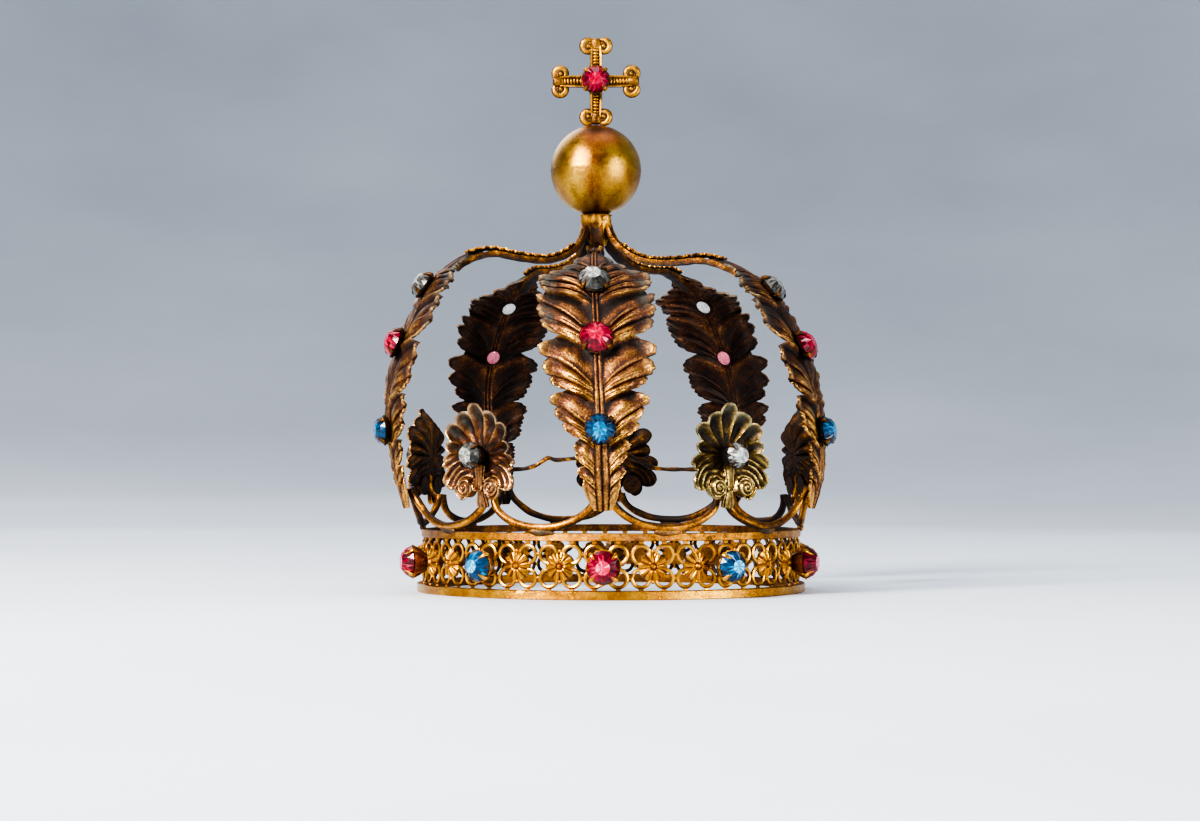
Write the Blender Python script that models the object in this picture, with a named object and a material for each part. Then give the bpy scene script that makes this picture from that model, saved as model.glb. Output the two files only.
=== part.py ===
"""A small gilt crown for a statue: pierced band, five acanthus arches, five palmettes, orb and cross.

The crown stands on its rim. Lengths are written in millimetres and turned into metres in place().
A place on the crown is a radius from the band's axis, an azimuth and a height. Azimuth 0 is the
front, at -Y, and grows towards +X, which is the right-hand side seen from the front.
"""
import math

import bmesh
import bpy
from mathutils import Vector

MM = 0.001
# Faces that meet at less than this are one flat face
FLAT_ANGLE = math.radians(0.3)
# Edges sharper than this stay sharp in the shading
CREASE_ANGLE = math.radians(32.0)
# Half of the step over which a curve's direction is measured
WAY_STEP = 0.2

# The band's axis stands a little off the middle of the whole crown's box, which reaches further
# towards the front arch and the left arch than towards the other sides.
AXIS_X = 1.1
AXIS_Y = 2.0

# The orb and cross stand a little to the left of the band's axis.
LEAN = -3.9
LEAN_FOOT = 22.0
LEAN_TOP = 97.0
LEAN_POWER = 1.5

# Band
BAND_HEIGHT = 16.0
RIM_HEIGHT = 1.65
LOWER_RIM_RADIUS = 50.0
UPPER_RIM_RADIUS = 48.9
GALLERY_RADIUS = 48.5
BAND_INNER_RADIUS = 47.6
UNITS = 27
FIRST_UNIT_AZIMUTH = 0.65
RING_OFFSET = 2.72
RING_HOLE_RADIUS = 1.975
ROSETTE_RADIUS = 3.5
ROSETTE_MID_RADIUS = 2.3
ROSETTE_MID_RISE = 0.9
ROSETTE_TOP_RISE = 1.2
HOLE_ARC_POINTS = 4

# Settings and stones, as shares of a stone's radius unless they are lengths
STONE_SIDES = 8
TABLE_SHARE = 0.44
CROWN_SHARE = 0.56
PAVILION_SHARE = 0.5
COLLET_TOP_SHARE = 0.97
COLLET_BASE_SHARE = 0.62
COLLET_DROP = 0.75
COLLET_SINK = 0.3
CLAW_ROOT_SHARE = 0.6
CLAW_HALF_WIDTH = 0.42
CLAW_THICKNESS = 0.6
CLAW_KNEE_GAP = 0.35
CLAW_KNEE_DROP = 0.1
CLAW_TIP_REACH = 0.1
CLAW_TIP_RISE = 1.1

BAND_STONE_RADIUS = 3.9
BAND_STONE_HEIGHT = 7.9
BAND_STONE_COUNT = 10
BAND_GIRDLE = 4.2
BAND_CROWN_SHARE = 0.7

# Arches
ARCH_AZIMUTHS = {"front": 0.0, "right": 72.0, "back_right": 144.0, "back_left": -144.0, "left": -72.0}
# How each hand-bent arch departs from the mean: bulge outwards and crest upwards
ARCH_BENDS = {
    "front": {"bulge": 0.0, "crest": -1.8},
    "right": {"bulge": -1.0, "crest": -2.0},
    "back_right": {"bulge": 0.8, "crest": -2.5},
    "back_left": {"bulge": 4.0, "crest": -2.5},
    "left": {"bulge": 1.0, "crest": 0.3},
}
# Outer face of the mean arch, from its foot to the neck: radius, height
ARCH_PROFILE = [
    (53.9, 21.5), (55.3, 26.5), (56.2, 31.5), (56.6, 38.0), (56.4, 44.0), (55.8, 50.0),
    (54.5, 56.0), (52.4, 62.0), (49.6, 68.5), (46.2, 75.0), (42.6, 80.0), (38.6, 83.8),
    (34.0, 86.2), (28.5, 87.3), (22.0, 86.3), (15.0, 85.8), (10.5, 86.8), (7.2, 88.8),
    (5.2, 91.0), (4.2, 93.0), (3.65, 95.2),
]
BULGE_SPAN = (22.0, 88.0)
CREST_SPAN = (40.0, 102.0)
# Acanthus leaf: length along the arch, half width, over the lobe tips and the notches
LEAF_ROWS = [
    (0.0, 2.3), (5.2, 4.2), (14.2, 6.4), (17.5, 5.6), (23.5, 9.8), (27.7, 11.4), (29.9, 8.9),
    (34.5, 12.4), (41.3, 13.5), (43.2, 10.0), (50.9, 13.9), (55.5, 13.4), (60.9, 12.5),
    (62.7, 9.5), (66.9, 9.8), (70.6, 5.8), (76.0, 2.0),
]
LEAF_THICKNESS = 0.9
# Across the leaf: share of the half width, rise of the front face
LEAF_SECTION = [(-1.0, -1.3), (-0.5, 0.1), (0.0, 0.7), (0.5, 0.1), (1.0, -1.3)]
LEAF_CUP_WIDTH = 12.0
# Strip that carries the leaf's end and runs up to the neck: length along the arch, top, underside
STRIP_ROWS = [
    (66.9, -0.3, -1.9), (70.6, -0.2, -1.9), (76.0, -0.2, -1.9), (81.0, 0.0, -1.9),
    (86.5, 0.0, -1.9), (91.2, 0.0, -1.9), (94.7, 0.0, -1.3), (98.2, 0.0, -1.3),
    (102.2, 0.0, -1.3), (106.5, 0.0, -1.3),
]
STRIP_HALF_WIDTH = 1.4
# Stones of an arch, bottom to top: name, length along the arch, radius, girdle above the leaf
ARCH_STONES = [("blue", 19.8, 3.7, 2.3), ("red", 41.8, 4.05, 2.5), ("clear", 57.9, 3.8, 2.3)]
ARCH_COLLET_SINK = 0.7
# Hole in the leaf behind each stone
STONE_HOLE_RADIUS = 1.8
STONE_HOLE_DEPTH = 2.5

# Palmettes
PALMETTE_AZIMUTHS = {
    "front_right": 36.0, "back_right": 108.0, "back": 180.0, "back_left": -108.0, "front_left": -36.0,
}
PALMETTE_RADIUS = 50.2
PALMETTE_HEIGHT = 34.7
PALMETTE_THICKNESS = 0.9
# Right half of the outline, from the top: angle, distance from the middle, rise of the edge
PALMETTE_OUTLINE = [
    (0.0, 12.8, 4.2), (13.0, 10.9, 3.0), (27.0, 11.4, 4.0), (40.0, 10.2, 2.9), (55.0, 11.9, 4.0),
    (67.0, 9.2, 2.8), (77.0, 10.0, 3.2), (87.0, 9.0, 2.6), (100.0, 11.7, 3.4), (111.0, 10.5, 2.7),
    (124.0, 13.2, 2.8), (139.0, 10.6, 2.2), (153.0, 12.0, 1.8), (164.0, 8.0, 1.0),
    (169.0, 11.2, 0.0), (176.0, 12.2, 0.0),
]
PALMETTE_MID_SHARE = 0.52
PALMETTE_MID_RISE = 0.8
PALMETTE_STONE_RADIUS = 3.25
PALMETTE_GIRDLE = 5.0
PALMETTE_POST_RADIUS = 1.1

# Festoon wires, each half of an ellipse between an arch's foot and a palmette's base
WIRE_RADIUS = 0.95
WIRE_SIDES = 5
WIRE_LOW_HEIGHT = 17.3
WIRE_LOW_RADIUS = 48.8
WIRE_ARCH_END = (52.9, 26.6)
WIRE_PALMETTE_END = (47.9, 24.6)
WIRE_END_SIDE = 1.35
WIRE_HALF_SPAN = 18.0
WIRE_STEPS = 10

# Neck, orb and cross
NECK_PROFILE = [(1.4, 90.0), (1.8, 93.0), (2.0, 95.6), (3.7, 96.2), (4.0, 97.1), (2.2, 96.7)]
NECK_SIDES = 12
ORB_RADIUS = 11.8
ORB_HEIGHT = 108.8
ORB_SEGMENTS = 16
ORB_RINGS = 9
CROSS_HEIGHT = 132.0
CROSS_ARM = 11.45
CROSS_HALF_THICKNESS = 1.1
CROSS_STONE_RADIUS = 3.6
CROSS_GIRDLE = 2.9
# One arm of the cross from the crossing outwards: distance along, distance beside
CROSS_ARM_OUTLINE = [
    (1.7, 1.65), (7.6, 1.5), (7.3, 2.5), (7.5, 3.4), (8.4, 4.0), (9.6, 4.0), (10.5, 3.4),
    (10.9, 2.2), (11.1, 1.0),
]

# Thin wire tied between the front palmettes: across, along -Y, height
TIE_WIRE_RADIUS = 0.55
TIE_WIRE_POINTS = [
    (-22.4, -46.2, 31.3), (-19.0, -46.5, 31.4), (-16.0, -46.8, 32.3), (-13.3, -47.0, 34.2),
    (-11.4, -47.0, 33.5), (-7.0, -47.2, 33.9), (-0.5, -47.4, 34.8), (5.8, -47.2, 35.3),
    (7.5, -47.0, 33.9), (11.9, -46.8, 31.6), (15.5, -46.6, 31.3), (19.4, -46.4, 31.3),
    (22.4, -46.2, 31.3),
]

# Finishes: colour, roughness, metallic
FINISHES = {
    "gilt_brass": ((0.72, 0.47, 0.17, 1.0), 0.34, 1.0),
    "aged_brass": ((0.36, 0.22, 0.11, 1.0), 0.46, 1.0),
    "red_glass": ((0.62, 0.02, 0.10, 1.0), 0.08, 0.0),
    "blue_glass": ((0.03, 0.24, 0.50, 1.0), 0.08, 0.0),
    "clear_glass": ((0.62, 0.62, 0.60, 1.0), 0.08, 0.0),
}


def lean(height):
    """Sideways shift of the crown at a height: nothing at the arches' feet, all of it at the orb."""
    share = (height - LEAN_FOOT) / (LEAN_TOP - LEAN_FOOT)
    return LEAN * min(max(share, 0.0), 1.0) ** LEAN_POWER


def place(point):
    """World place in metres of a point given in millimetres from the foot of the band's axis."""
    return Vector((point[0] + AXIS_X + lean(point[2]), point[1] + AXIS_Y, point[2])) * MM


def around(radius, azimuth, height):
    """Point at a radius and an azimuth in degrees, in millimetres."""
    turn = math.radians(azimuth)
    return Vector((radius * math.sin(turn), -radius * math.cos(turn), height))


def outward(azimuth):
    """Level unit vector that points away from the axis."""
    return around(1.0, azimuth, 0.0)


def sideways(azimuth):
    """Level unit vector along the ring, towards a larger azimuth."""
    turn = math.radians(azimuth)
    return Vector((math.cos(turn), math.sin(turn), 0.0))


class Curve:
    """A smooth plane curve through points, read by the length along it (Catmull-Rom)."""

    def __init__(self, points):
        self.points = [Vector(p) for p in points]
        self.at = [0.0]
        for a, b in zip(self.points, self.points[1:]):
            self.at.append(self.at[-1] + (b - a).length)

    def point(self, length):
        """Point at a length from the start."""
        last = len(self.points) - 2
        i = 0
        while i < last and self.at[i + 1] < length:
            i += 1
        t = (length - self.at[i]) / (self.at[i + 1] - self.at[i])
        p1, p2 = self.points[i], self.points[i + 1]
        p0 = self.points[i - 1] if i else p1 * 2 - p2
        p3 = self.points[i + 2] if i < last else p2 * 2 - p1
        a = p1 * 2
        b = (p2 - p0) * t
        c = (p0 * 2 - p1 * 5 + p2 * 4 - p3) * t * t
        d = (p1 * 3 - p0 - p2 * 3 + p3) * t ** 3
        return (a + b + c + d) * 0.5

    def normal(self, length):
        """Unit normal on the right of the way along, which is the outside of an arch."""
        way = (self.point(length + WAY_STEP) - self.point(length - WAY_STEP)).normalized()
        return Vector((way.y, -way.x))


def finish(name):
    """Material with a Principled shader in a finish's colour, roughness and metallic value."""
    known = bpy.data.materials.get(name)
    if known:
        return known
    colour, roughness, metallic = FINISHES[name]
    material = bpy.data.materials.new(name)
    material.use_nodes = True
    shader = material.node_tree.nodes["Principled BSDF"]
    shader.inputs["Base Color"].default_value = colour
    shader.inputs["Roughness"].default_value = roughness
    shader.inputs["Metallic"].default_value = metallic
    material.diffuse_color = colour
    return material


def mesh_from(verts, faces, name="body"):
    """Closed mesh from points in millimetres, with its faces pointing out."""
    bm = bmesh.new()
    made = [bm.verts.new(place(v)) for v in verts]
    for face in faces:
        bm.faces.new([made[i] for i in face])
    bmesh.ops.recalc_face_normals(bm, faces=bm.faces)
    bmesh.ops.triangulate(bm, faces=bm.faces)
    mesh = bpy.data.meshes.new(name)
    bm.to_mesh(mesh)
    bm.free()
    return mesh


def add_object(name, mesh, finish_name):
    """Named object for a mesh, shaded smooth but for its sharp edges."""
    mesh.name = name
    mesh.shade_smooth()
    mesh.set_sharp_from_angle(angle=CREASE_ANGLE)
    mesh.materials.clear()
    mesh.materials.append(finish(finish_name))
    made = bpy.data.objects.new(name, mesh)
    bpy.context.scene.collection.objects.link(made)
    return made


def joined(meshes, operation, cutters=()):
    """One mesh from the first of the meshes and the Boolean union or difference with the others."""
    helpers = bpy.data.collections.new("helpers")
    objects = [bpy.data.objects.new("helper", mesh) for mesh in [*meshes, *cutters]]
    bpy.context.scene.collection.objects.link(objects[0])
    for extra in objects[1:]:
        helpers.objects.link(extra)
    step = objects[0].modifiers.new("solder", "BOOLEAN")
    step.operation = operation
    step.solver = "EXACT"
    step.operand_type = "COLLECTION"
    step.collection = helpers
    bpy.context.view_layer.update()
    seen = objects[0].evaluated_get(bpy.context.evaluated_depsgraph_get())
    mesh = bpy.data.meshes.new_from_object(seen)
    for helper in objects:
        bpy.data.objects.remove(helper)
    bpy.data.collections.remove(helpers)
    bm = bmesh.new()
    bm.from_mesh(mesh)
    bmesh.ops.dissolve_limit(bm, angle_limit=FLAT_ANGLE, verts=bm.verts, edges=bm.edges)
    bmesh.ops.triangulate(bm, faces=bm.faces)
    bm.to_mesh(mesh)
    bm.free()
    return mesh


def soldered(meshes):
    """One mesh for pieces that are soldered together."""
    return joined(meshes, "UNION")


def pierced(mesh, cutters):
    """A mesh with holes through it where the cutters are."""
    return joined([mesh], "DIFFERENCE", cutters)


def tube_between(rings):
    """Solid through rings of equal count, with both ends closed."""
    count = len(rings[0])
    verts = [v for ring in rings for v in ring]
    faces = []
    for i in range(len(rings) - 1):
        for k in range(count):
            a, b = i * count + k, i * count + (k + 1) % count
            faces.append((a, b, b + count, a + count))
    faces.append(tuple(range(count)))
    faces.append(tuple(range(len(verts) - count, len(verts))))
    return mesh_from(verts, faces)


def wire(points, radius, sides):
    """Round wire along points, as rings square to the way through each point."""
    rings = []
    for i, point in enumerate(points):
        way = (points[min(i + 1, len(points) - 1)] - points[max(i - 1, 0)]).normalized()
        across = outward_from_axis(point)
        across = (across - way * across.dot(way)).normalized()
        beside = way.cross(across)
        ring = []
        for k in range(sides):
            turn = math.tau * k / sides
            ring.append(point + (across * math.cos(turn) + beside * math.sin(turn)) * radius)
        rings.append(ring)
    return tube_between(rings)


def outward_from_axis(point):
    """Level direction from the axis to a point."""
    return Vector((point.x, point.y, 0.0)).normalized()


class Seat:
    """Frame of a setting: where it stands, which way the stone looks, and two ways across."""

    def __init__(self, foot, look, up):
        self.foot = foot
        self.look = look.normalized()
        self.right = up.cross(self.look).normalized()
        self.up = self.look.cross(self.right)

    def at(self, turn, radius, rise):
        """Point at an angle in degrees round the seat, a radius and a rise along its look."""
        angle = math.radians(turn)
        across = self.right * math.cos(angle) + self.up * math.sin(angle)
        return self.foot + across * radius + self.look * rise

    def beside(self, turn, reach, side, rise):
        """Point at a reach out along an angle, a distance to its side and a rise."""
        angle = math.radians(turn)
        along = self.right * math.cos(angle) + self.up * math.sin(angle)
        across = self.up * math.cos(angle) - self.right * math.sin(angle)
        return self.foot + along * reach + across * side + self.look * rise

    def ring(self, radius, rise):
        """Eight points round the seat, with a flat side facing each claw."""
        step = 360.0 / STONE_SIDES
        return [self.at(step * (k + 0.5), radius, rise) for k in range(STONE_SIDES)]


def cut_stone(seat, radius, girdle, crown=CROWN_SHARE):
    """Round-cut stone: table, eight main facets down to the girdle and eight pavilion facets."""
    table = seat.ring(radius * TABLE_SHARE, girdle + radius * crown)
    edge = seat.ring(radius, girdle)
    culet = seat.at(0.0, 0.0, girdle - radius * PAVILION_SHARE)
    n = STONE_SIDES
    faces = [tuple(range(n))]
    for k in range(n):
        after = (k + 1) % n
        faces.append((k, after, n + after, n + k))
        faces.append((n + k, n + after, 2 * n))
    return mesh_from(table + edge + [culet], faces)


def setting(seat, radius, girdle, foot_radius, sink):
    """Tapered cup with a cone-shaped seat under the stone, and four claws drawn up from its rim.

    Each claw grows from the middle of a rim edge: it leans out past the girdle to its knee, and its
    point bends in over the stone.
    """
    n = STONE_SIDES
    flat = math.cos(math.pi / n)
    top_radius = radius * COLLET_TOP_SHARE
    top_rise = girdle - COLLET_DROP
    verts = seat.ring(foot_radius, -sink) + seat.ring(top_radius, top_rise)
    verts.append(seat.at(0.0, 0.0, top_rise - top_radius * PAVILION_SHARE))
    low = 2 * n
    faces = [tuple(range(n))]
    for k in range(n):
        after = (k + 1) % n
        turn = 360.0 / n * (k + 1)
        if k % 2:
            faces.append((k, after, n + after, n + k))
            faces.append((n + k, n + after, low))
            continue
        below = (foot_radius + (top_radius - foot_radius) * CLAW_ROOT_SHARE) * flat
        below_rise = (top_rise + sink) * CLAW_ROOT_SHARE - sink
        knee = radius * flat + CLAW_KNEE_GAP
        knee_rise = girdle - CLAW_KNEE_DROP
        rim = top_radius * flat
        rows = [
            (rim, -CLAW_HALF_WIDTH, top_rise), (rim, CLAW_HALF_WIDTH, top_rise),
            (below, 0.0, below_rise),
            (knee, -CLAW_HALF_WIDTH, knee_rise), (knee, CLAW_HALF_WIDTH, knee_rise),
            (knee + CLAW_THICKNESS, 0.0, knee_rise),
            (radius * flat - CLAW_TIP_REACH, 0.0, girdle + CLAW_TIP_RISE),
        ]
        first = len(verts)
        verts += [seat.beside(turn, reach, side, rise) for reach, side, rise in rows]
        left, right, root, knee_left, knee_right, knee_out, tip = range(first, first + 7)
        faces += [
            (k, root, left, n + k), (after, n + after, right, root), (k, after, root),
            (n + k, left, low), (left, right, low), (right, n + after, low),
            (left, knee_left, knee_right, right), (left, root, knee_out, knee_left),
            (root, right, knee_right, knee_out), (knee_left, tip, knee_right),
            (knee_left, knee_out, tip), (knee_out, knee_right, tip),
        ]
    return mesh_from(verts, faces)


def unit_hole_angles():
    """Half angles of a lobe's opening, seen from the rosette and from the ring's own middle."""
    away = RING_OFFSET * math.sqrt(2.0)
    squares = away ** 2 + ROSETTE_RADIUS ** 2 - RING_HOLE_RADIUS ** 2
    at_rosette = math.acos(squares / (2.0 * away * ROSETTE_RADIUS))
    squares = away ** 2 + RING_HOLE_RADIUS ** 2 - ROSETTE_RADIUS ** 2
    at_ring = math.acos(squares / (2.0 * away * RING_HOLE_RADIUS))
    return at_rosette, at_ring


def lobe_hole(diagonal):
    """Outline of one opening in a unit, as (across, up): rosette edge, then round the ring."""
    at_rosette, at_ring = unit_hole_angles()
    middle = Vector((RING_OFFSET * math.sqrt(2.0) * math.cos(diagonal),
                     RING_OFFSET * math.sqrt(2.0) * math.sin(diagonal)))
    start = diagonal + math.pi + at_ring
    sweep = math.tau - 2.0 * at_ring
    outline = []
    for k in range(HOLE_ARC_POINTS + 2):
        turn = start + sweep * k / (HOLE_ARC_POINTS + 1)
        outline.append(middle + Vector((math.cos(turn), math.sin(turn))) * RING_HOLE_RADIUS)
    return outline


def band_mesh():
    """Band: lower and upper rim strips and a gallery pierced with four openings in each unit."""
    pitch = 360.0 / UNITS
    mid_height = BAND_HEIGHT / 2.0
    degrees = 180.0 / math.pi / GALLERY_RADIUS
    bm = bmesh.new()

    def vert(radius, azimuth, height):
        return bm.verts.new(place(around(radius, azimuth, height)))

    low, high = RIM_HEIGHT, BAND_HEIGHT - RIM_HEIGHT
    section = {
        "rim_low": (LOWER_RIM_RADIUS, 0.0), "rim_low_top": (LOWER_RIM_RADIUS, low),
        "front_low": (GALLERY_RADIUS, low), "front_high": (GALLERY_RADIUS, high),
        "rim_high_low": (UPPER_RIM_RADIUS, high), "rim_high": (UPPER_RIM_RADIUS, BAND_HEIGHT),
        "back_top": (BAND_INNER_RADIUS, BAND_HEIGHT), "back_high": (BAND_INNER_RADIUS, high),
        "back_low": (BAND_INNER_RADIUS, low), "back_foot": (BAND_INNER_RADIUS, 0.0),
    }
    steps = 2 * UNITS
    azimuths = [FIRST_UNIT_AZIMUTH + pitch * (k - 1) / 2.0 for k in range(steps)]
    rings = {key: [vert(r, az, z) for az in azimuths] for key, (r, z) in section.items()}
    strips = [
        ("back_foot", "rim_low"), ("rim_low", "rim_low_top"), ("rim_low_top", "front_low"),
        ("front_high", "rim_high_low"), ("rim_high_low", "rim_high"), ("rim_high", "back_top"),
        ("back_top", "back_high"), ("back_low", "back_foot"),
    ]
    for a, b in strips:
        for k in range(steps):
            after = (k + 1) % steps
            bm.faces.new((rings[a][k], rings[a][after], rings[b][after], rings[b][k]))
    for unit in range(UNITS):
        azimuth = FIRST_UNIT_AZIMUTH + pitch * unit
        holes = [lobe_hole(math.pi / 4 + math.pi / 2 * k) for k in range(4)]
        sheets = {}
        for side, radius in (("front", GALLERY_RADIUS), ("back", BAND_INNER_RADIUS)):
            sheets[side] = [
                [vert(radius, azimuth + p.x * degrees, mid_height + p.y) for p in hole] for hole in holes
            ]
            ks = [(2 * unit + step) % steps for step in (0, 1, 2)]
            border = [rings[side + "_low"][k] for k in ks]
            border += [rings[side + "_high"][k] for k in reversed(ks)]
            fill_panel(bm, border, sheets[side], side == "front", azimuth, mid_height)
        for front, back in zip(sheets["front"], sheets["back"]):
            for k in range(len(front)):
                after = (k + 1) % len(front)
                bm.faces.new((front[k], front[after], back[after], back[k]))
    bmesh.ops.recalc_face_normals(bm, faces=bm.faces)
    bmesh.ops.triangulate(bm, faces=bm.faces)
    mesh = bpy.data.meshes.new("band")
    bm.to_mesh(mesh)
    bm.free()
    return mesh


def fill_panel(bm, border, holes, domed, azimuth, height):
    """Faces of one unit's sheet between its border, its four openings and its middle.

    border runs low left, low middle, low right, high right, high middle, high left. Each opening's
    first and last points lie on the rosette's edge, and the others go round its ring.
    """
    low_left, low_mid, low_right, high_right, high_mid, high_left = border
    right_up, left_up, left_down, right_down = holes
    last = len(right_up) - 1
    mid = len(right_up) // 2

    def fan(centre, chain):
        for a, b in zip(chain, chain[1:]):
            bm.faces.new((centre, a, b))

    # Each corner of the border looks at its ring's outer arc, and the sides between the rings are
    # closed from the middle points and between neighbours.
    for corner, hole in ((high_right, right_up), (high_left, left_up),
                         (low_left, left_down), (low_right, right_down)):
        fan(corner, hole[mid - 2:mid + 2])
    bridges = (
        (high_mid, high_right, right_up, "up_after"), (high_mid, high_left, left_up, "up_before"),
        (low_mid, low_left, left_down, "up_after"), (low_mid, low_right, right_down, "up_before"),
    )
    for middle, corner, hole, kind in bridges:
        near = hole[mid + 1:] if kind == "up_after" else hole[:mid - 1]
        end = near[0] if kind == "up_after" else near[-1]
        bm.faces.new((middle, corner, end))
        fan(middle, near)
    bm.faces.new((high_mid, right_up[last], left_up[0]))
    bm.faces.new((low_mid, left_down[last], right_down[0]))
    for corner_a, corner_b, hole_a, hole_b in (
        (high_right, low_right, right_up[:mid - 1], right_down[mid + 1:]),
        (low_left, high_left, left_down[:mid - 1], left_up[mid + 1:]),
    ):
        outer_a, outer_b = hole_a[-1], hole_b[0]
        bm.faces.new((corner_a, outer_a, outer_b, corner_b))
        down = list(reversed(hole_a))
        for k in range(len(down) - 1):
            bm.faces.new((down[k], down[k + 1], hole_b[k + 1], hole_b[k]))
    edge = [right_up[0], right_up[last], left_up[0], left_up[last],
            left_down[0], left_down[last], right_down[0], right_down[last]]
    if not domed:
        bm.faces.new(edge)
        return
    turn = 180.0 / math.pi / GALLERY_RADIUS
    at_rosette = unit_hole_angles()[0]
    inner = []
    for k in range(4):
        for sign in (-1.0, 1.0):
            angle = math.pi / 4 + math.pi / 2 * k + sign * at_rosette
            across = ROSETTE_MID_RADIUS * math.cos(angle)
            up = ROSETTE_MID_RADIUS * math.sin(angle)
            point = around(GALLERY_RADIUS + ROSETTE_MID_RISE, azimuth + across * turn, height + up)
            inner.append(bm.verts.new(place(point)))
    top = bm.verts.new(place(around(GALLERY_RADIUS + ROSETTE_TOP_RISE, azimuth, height)))
    for k in range(8):
        after = (k + 1) % 8
        bm.faces.new((edge[k], edge[after], inner[after], inner[k]))
        bm.faces.new((inner[k], inner[after], top))


def build_band():
    """Band with its ten claw settings, and the ten stones in them."""
    parts = [band_mesh()]
    for k in range(BAND_STONE_COUNT):
        azimuth = 360.0 / BAND_STONE_COUNT * k
        foot = around(GALLERY_RADIUS, azimuth, BAND_STONE_HEIGHT)
        seat = Seat(foot, outward(azimuth), Vector((0.0, 0.0, 1.0)))
        foot_radius = BAND_STONE_RADIUS * COLLET_BASE_SHARE
        parts.append(setting(seat, BAND_STONE_RADIUS, BAND_GIRDLE, foot_radius, COLLET_SINK))
        colour = "blue" if k % 2 else "red"
        stone = cut_stone(seat, BAND_STONE_RADIUS, BAND_GIRDLE, BAND_CROWN_SHARE)
        add_object(f"stone_band_{int(azimuth):03d}", stone, f"{colour}_glass")
    add_object("band", soldered(parts), "gilt_brass")


class Arch:
    """One hand-bent arch: its own curve, seen from its azimuth."""

    def __init__(self, name):
        self.name = name
        self.azimuth = ARCH_AZIMUTHS[name]
        bend = ARCH_BENDS[name]
        mean = Curve(ARCH_PROFILE)
        points = []
        for (radius, height), length in zip(ARCH_PROFILE, mean.at):
            out = hump(height, BULGE_SPAN) * bend["bulge"]
            rise = hump(length, CREST_SPAN) * bend["crest"]
            points.append((radius + out, height + rise))
        self.curve = Curve(points)
        self.stretch = self.curve.at[-1] / mean.at[-1]

    def at(self, length, side, rise):
        """Point at a mean length along the arch, a distance beside its middle and above its face."""
        here = length * self.stretch
        flat = self.curve.point(here) + self.curve.normal(here) * rise
        return around(flat.x, self.azimuth, flat.y) + sideways(self.azimuth) * side

    def look(self, length):
        """Outward normal of the face at a mean length along the arch."""
        flat = self.curve.normal(length * self.stretch)
        return outward(self.azimuth) * flat.x + Vector((0.0, 0.0, flat.y))


def hump(value, span):
    """Smooth swell from nothing to one and back over a span."""
    share = min(max((value - span[0]) / (span[1] - span[0]), 0.0), 1.0)
    return math.sin(math.pi * share) ** 2


def leaf_mesh(arch):
    """Acanthus leaf: a bent sheet with a raised midrib, dropped edges and lobed outline."""
    front, back = [], []
    for length, width in LEAF_ROWS:
        cup = min(width / LEAF_CUP_WIDTH, 1.0)
        for share, rise in LEAF_SECTION:
            lift = rise * cup
            front.append(arch.at(length, share * width, lift))
            back.append(arch.at(length, share * width, lift - LEAF_THICKNESS))
    return sheet_solid(front, back, len(LEAF_ROWS), len(LEAF_SECTION))


def sheet_solid(front, back, rows, columns):
    """Closed solid between two grids of points, row by row."""
    faces = []
    shift = len(front)
    for i in range(rows - 1):
        for k in range(columns - 1):
            a = i * columns + k
            quad = (a, a + 1, a + 1 + columns, a + columns)
            faces.append(quad)
            faces.append(tuple(n + shift for n in reversed(quad)))
    rim = list(range(columns))
    rim += [i * columns + columns - 1 for i in range(1, rows)]
    rim += [(rows - 1) * columns + k for k in range(columns - 2, -1, -1)]
    rim += [i * columns for i in range(rows - 2, 0, -1)]
    for a, b in zip(rim, rim[1:] + rim[:1]):
        faces.append((a, b, b + shift, a + shift))
    return mesh_from(front + back, faces)


def strip_mesh(arch):
    """Flat strip under the leaf's end that dips and then climbs to the neck."""
    rings = []
    for length, top, under in STRIP_ROWS:
        rings.append([
            arch.at(length, -STRIP_HALF_WIDTH, top), arch.at(length, STRIP_HALF_WIDTH, top),
            arch.at(length, STRIP_HALF_WIDTH, under), arch.at(length, -STRIP_HALF_WIDTH, under),
        ])
    return tube_between(rings)


def build_arch(name):
    """Arch of leaf, strip and three settings soldered together, and its three stones."""
    arch = Arch(name)
    parts = [leaf_mesh(arch), strip_mesh(arch)]
    holes = []
    for colour, length, radius, girdle in ARCH_STONES:
        look = arch.look(length)
        seat = Seat(arch.at(length, 0.0, 0.0), look, look.cross(sideways(arch.azimuth)))
        parts.append(setting(seat, radius, girdle, radius * COLLET_BASE_SHARE, ARCH_COLLET_SINK))
        ends = (-STONE_HOLE_DEPTH, girdle)
        holes.append(tube_between([seat.ring(STONE_HOLE_RADIUS, rise) for rise in ends]))
        stone = cut_stone(seat, radius, girdle)
        add_object(f"stone_arch_{name}_{colour}", stone, f"{colour}_glass")
    add_object(f"arch_{name}", pierced(soldered(parts), holes), "aged_brass")


def palmette_outline():
    """Whole outline of a palmette as (across, up, rise), both halves, clockwise from the top."""
    right = []
    for angle, reach, rise in PALMETTE_OUTLINE:
        turn = math.radians(angle)
        right.append((reach * math.sin(turn), reach * math.cos(turn), rise))
    left = [(-x, y, rise) for x, y, rise in reversed(right[1:])]
    return right + left


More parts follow.
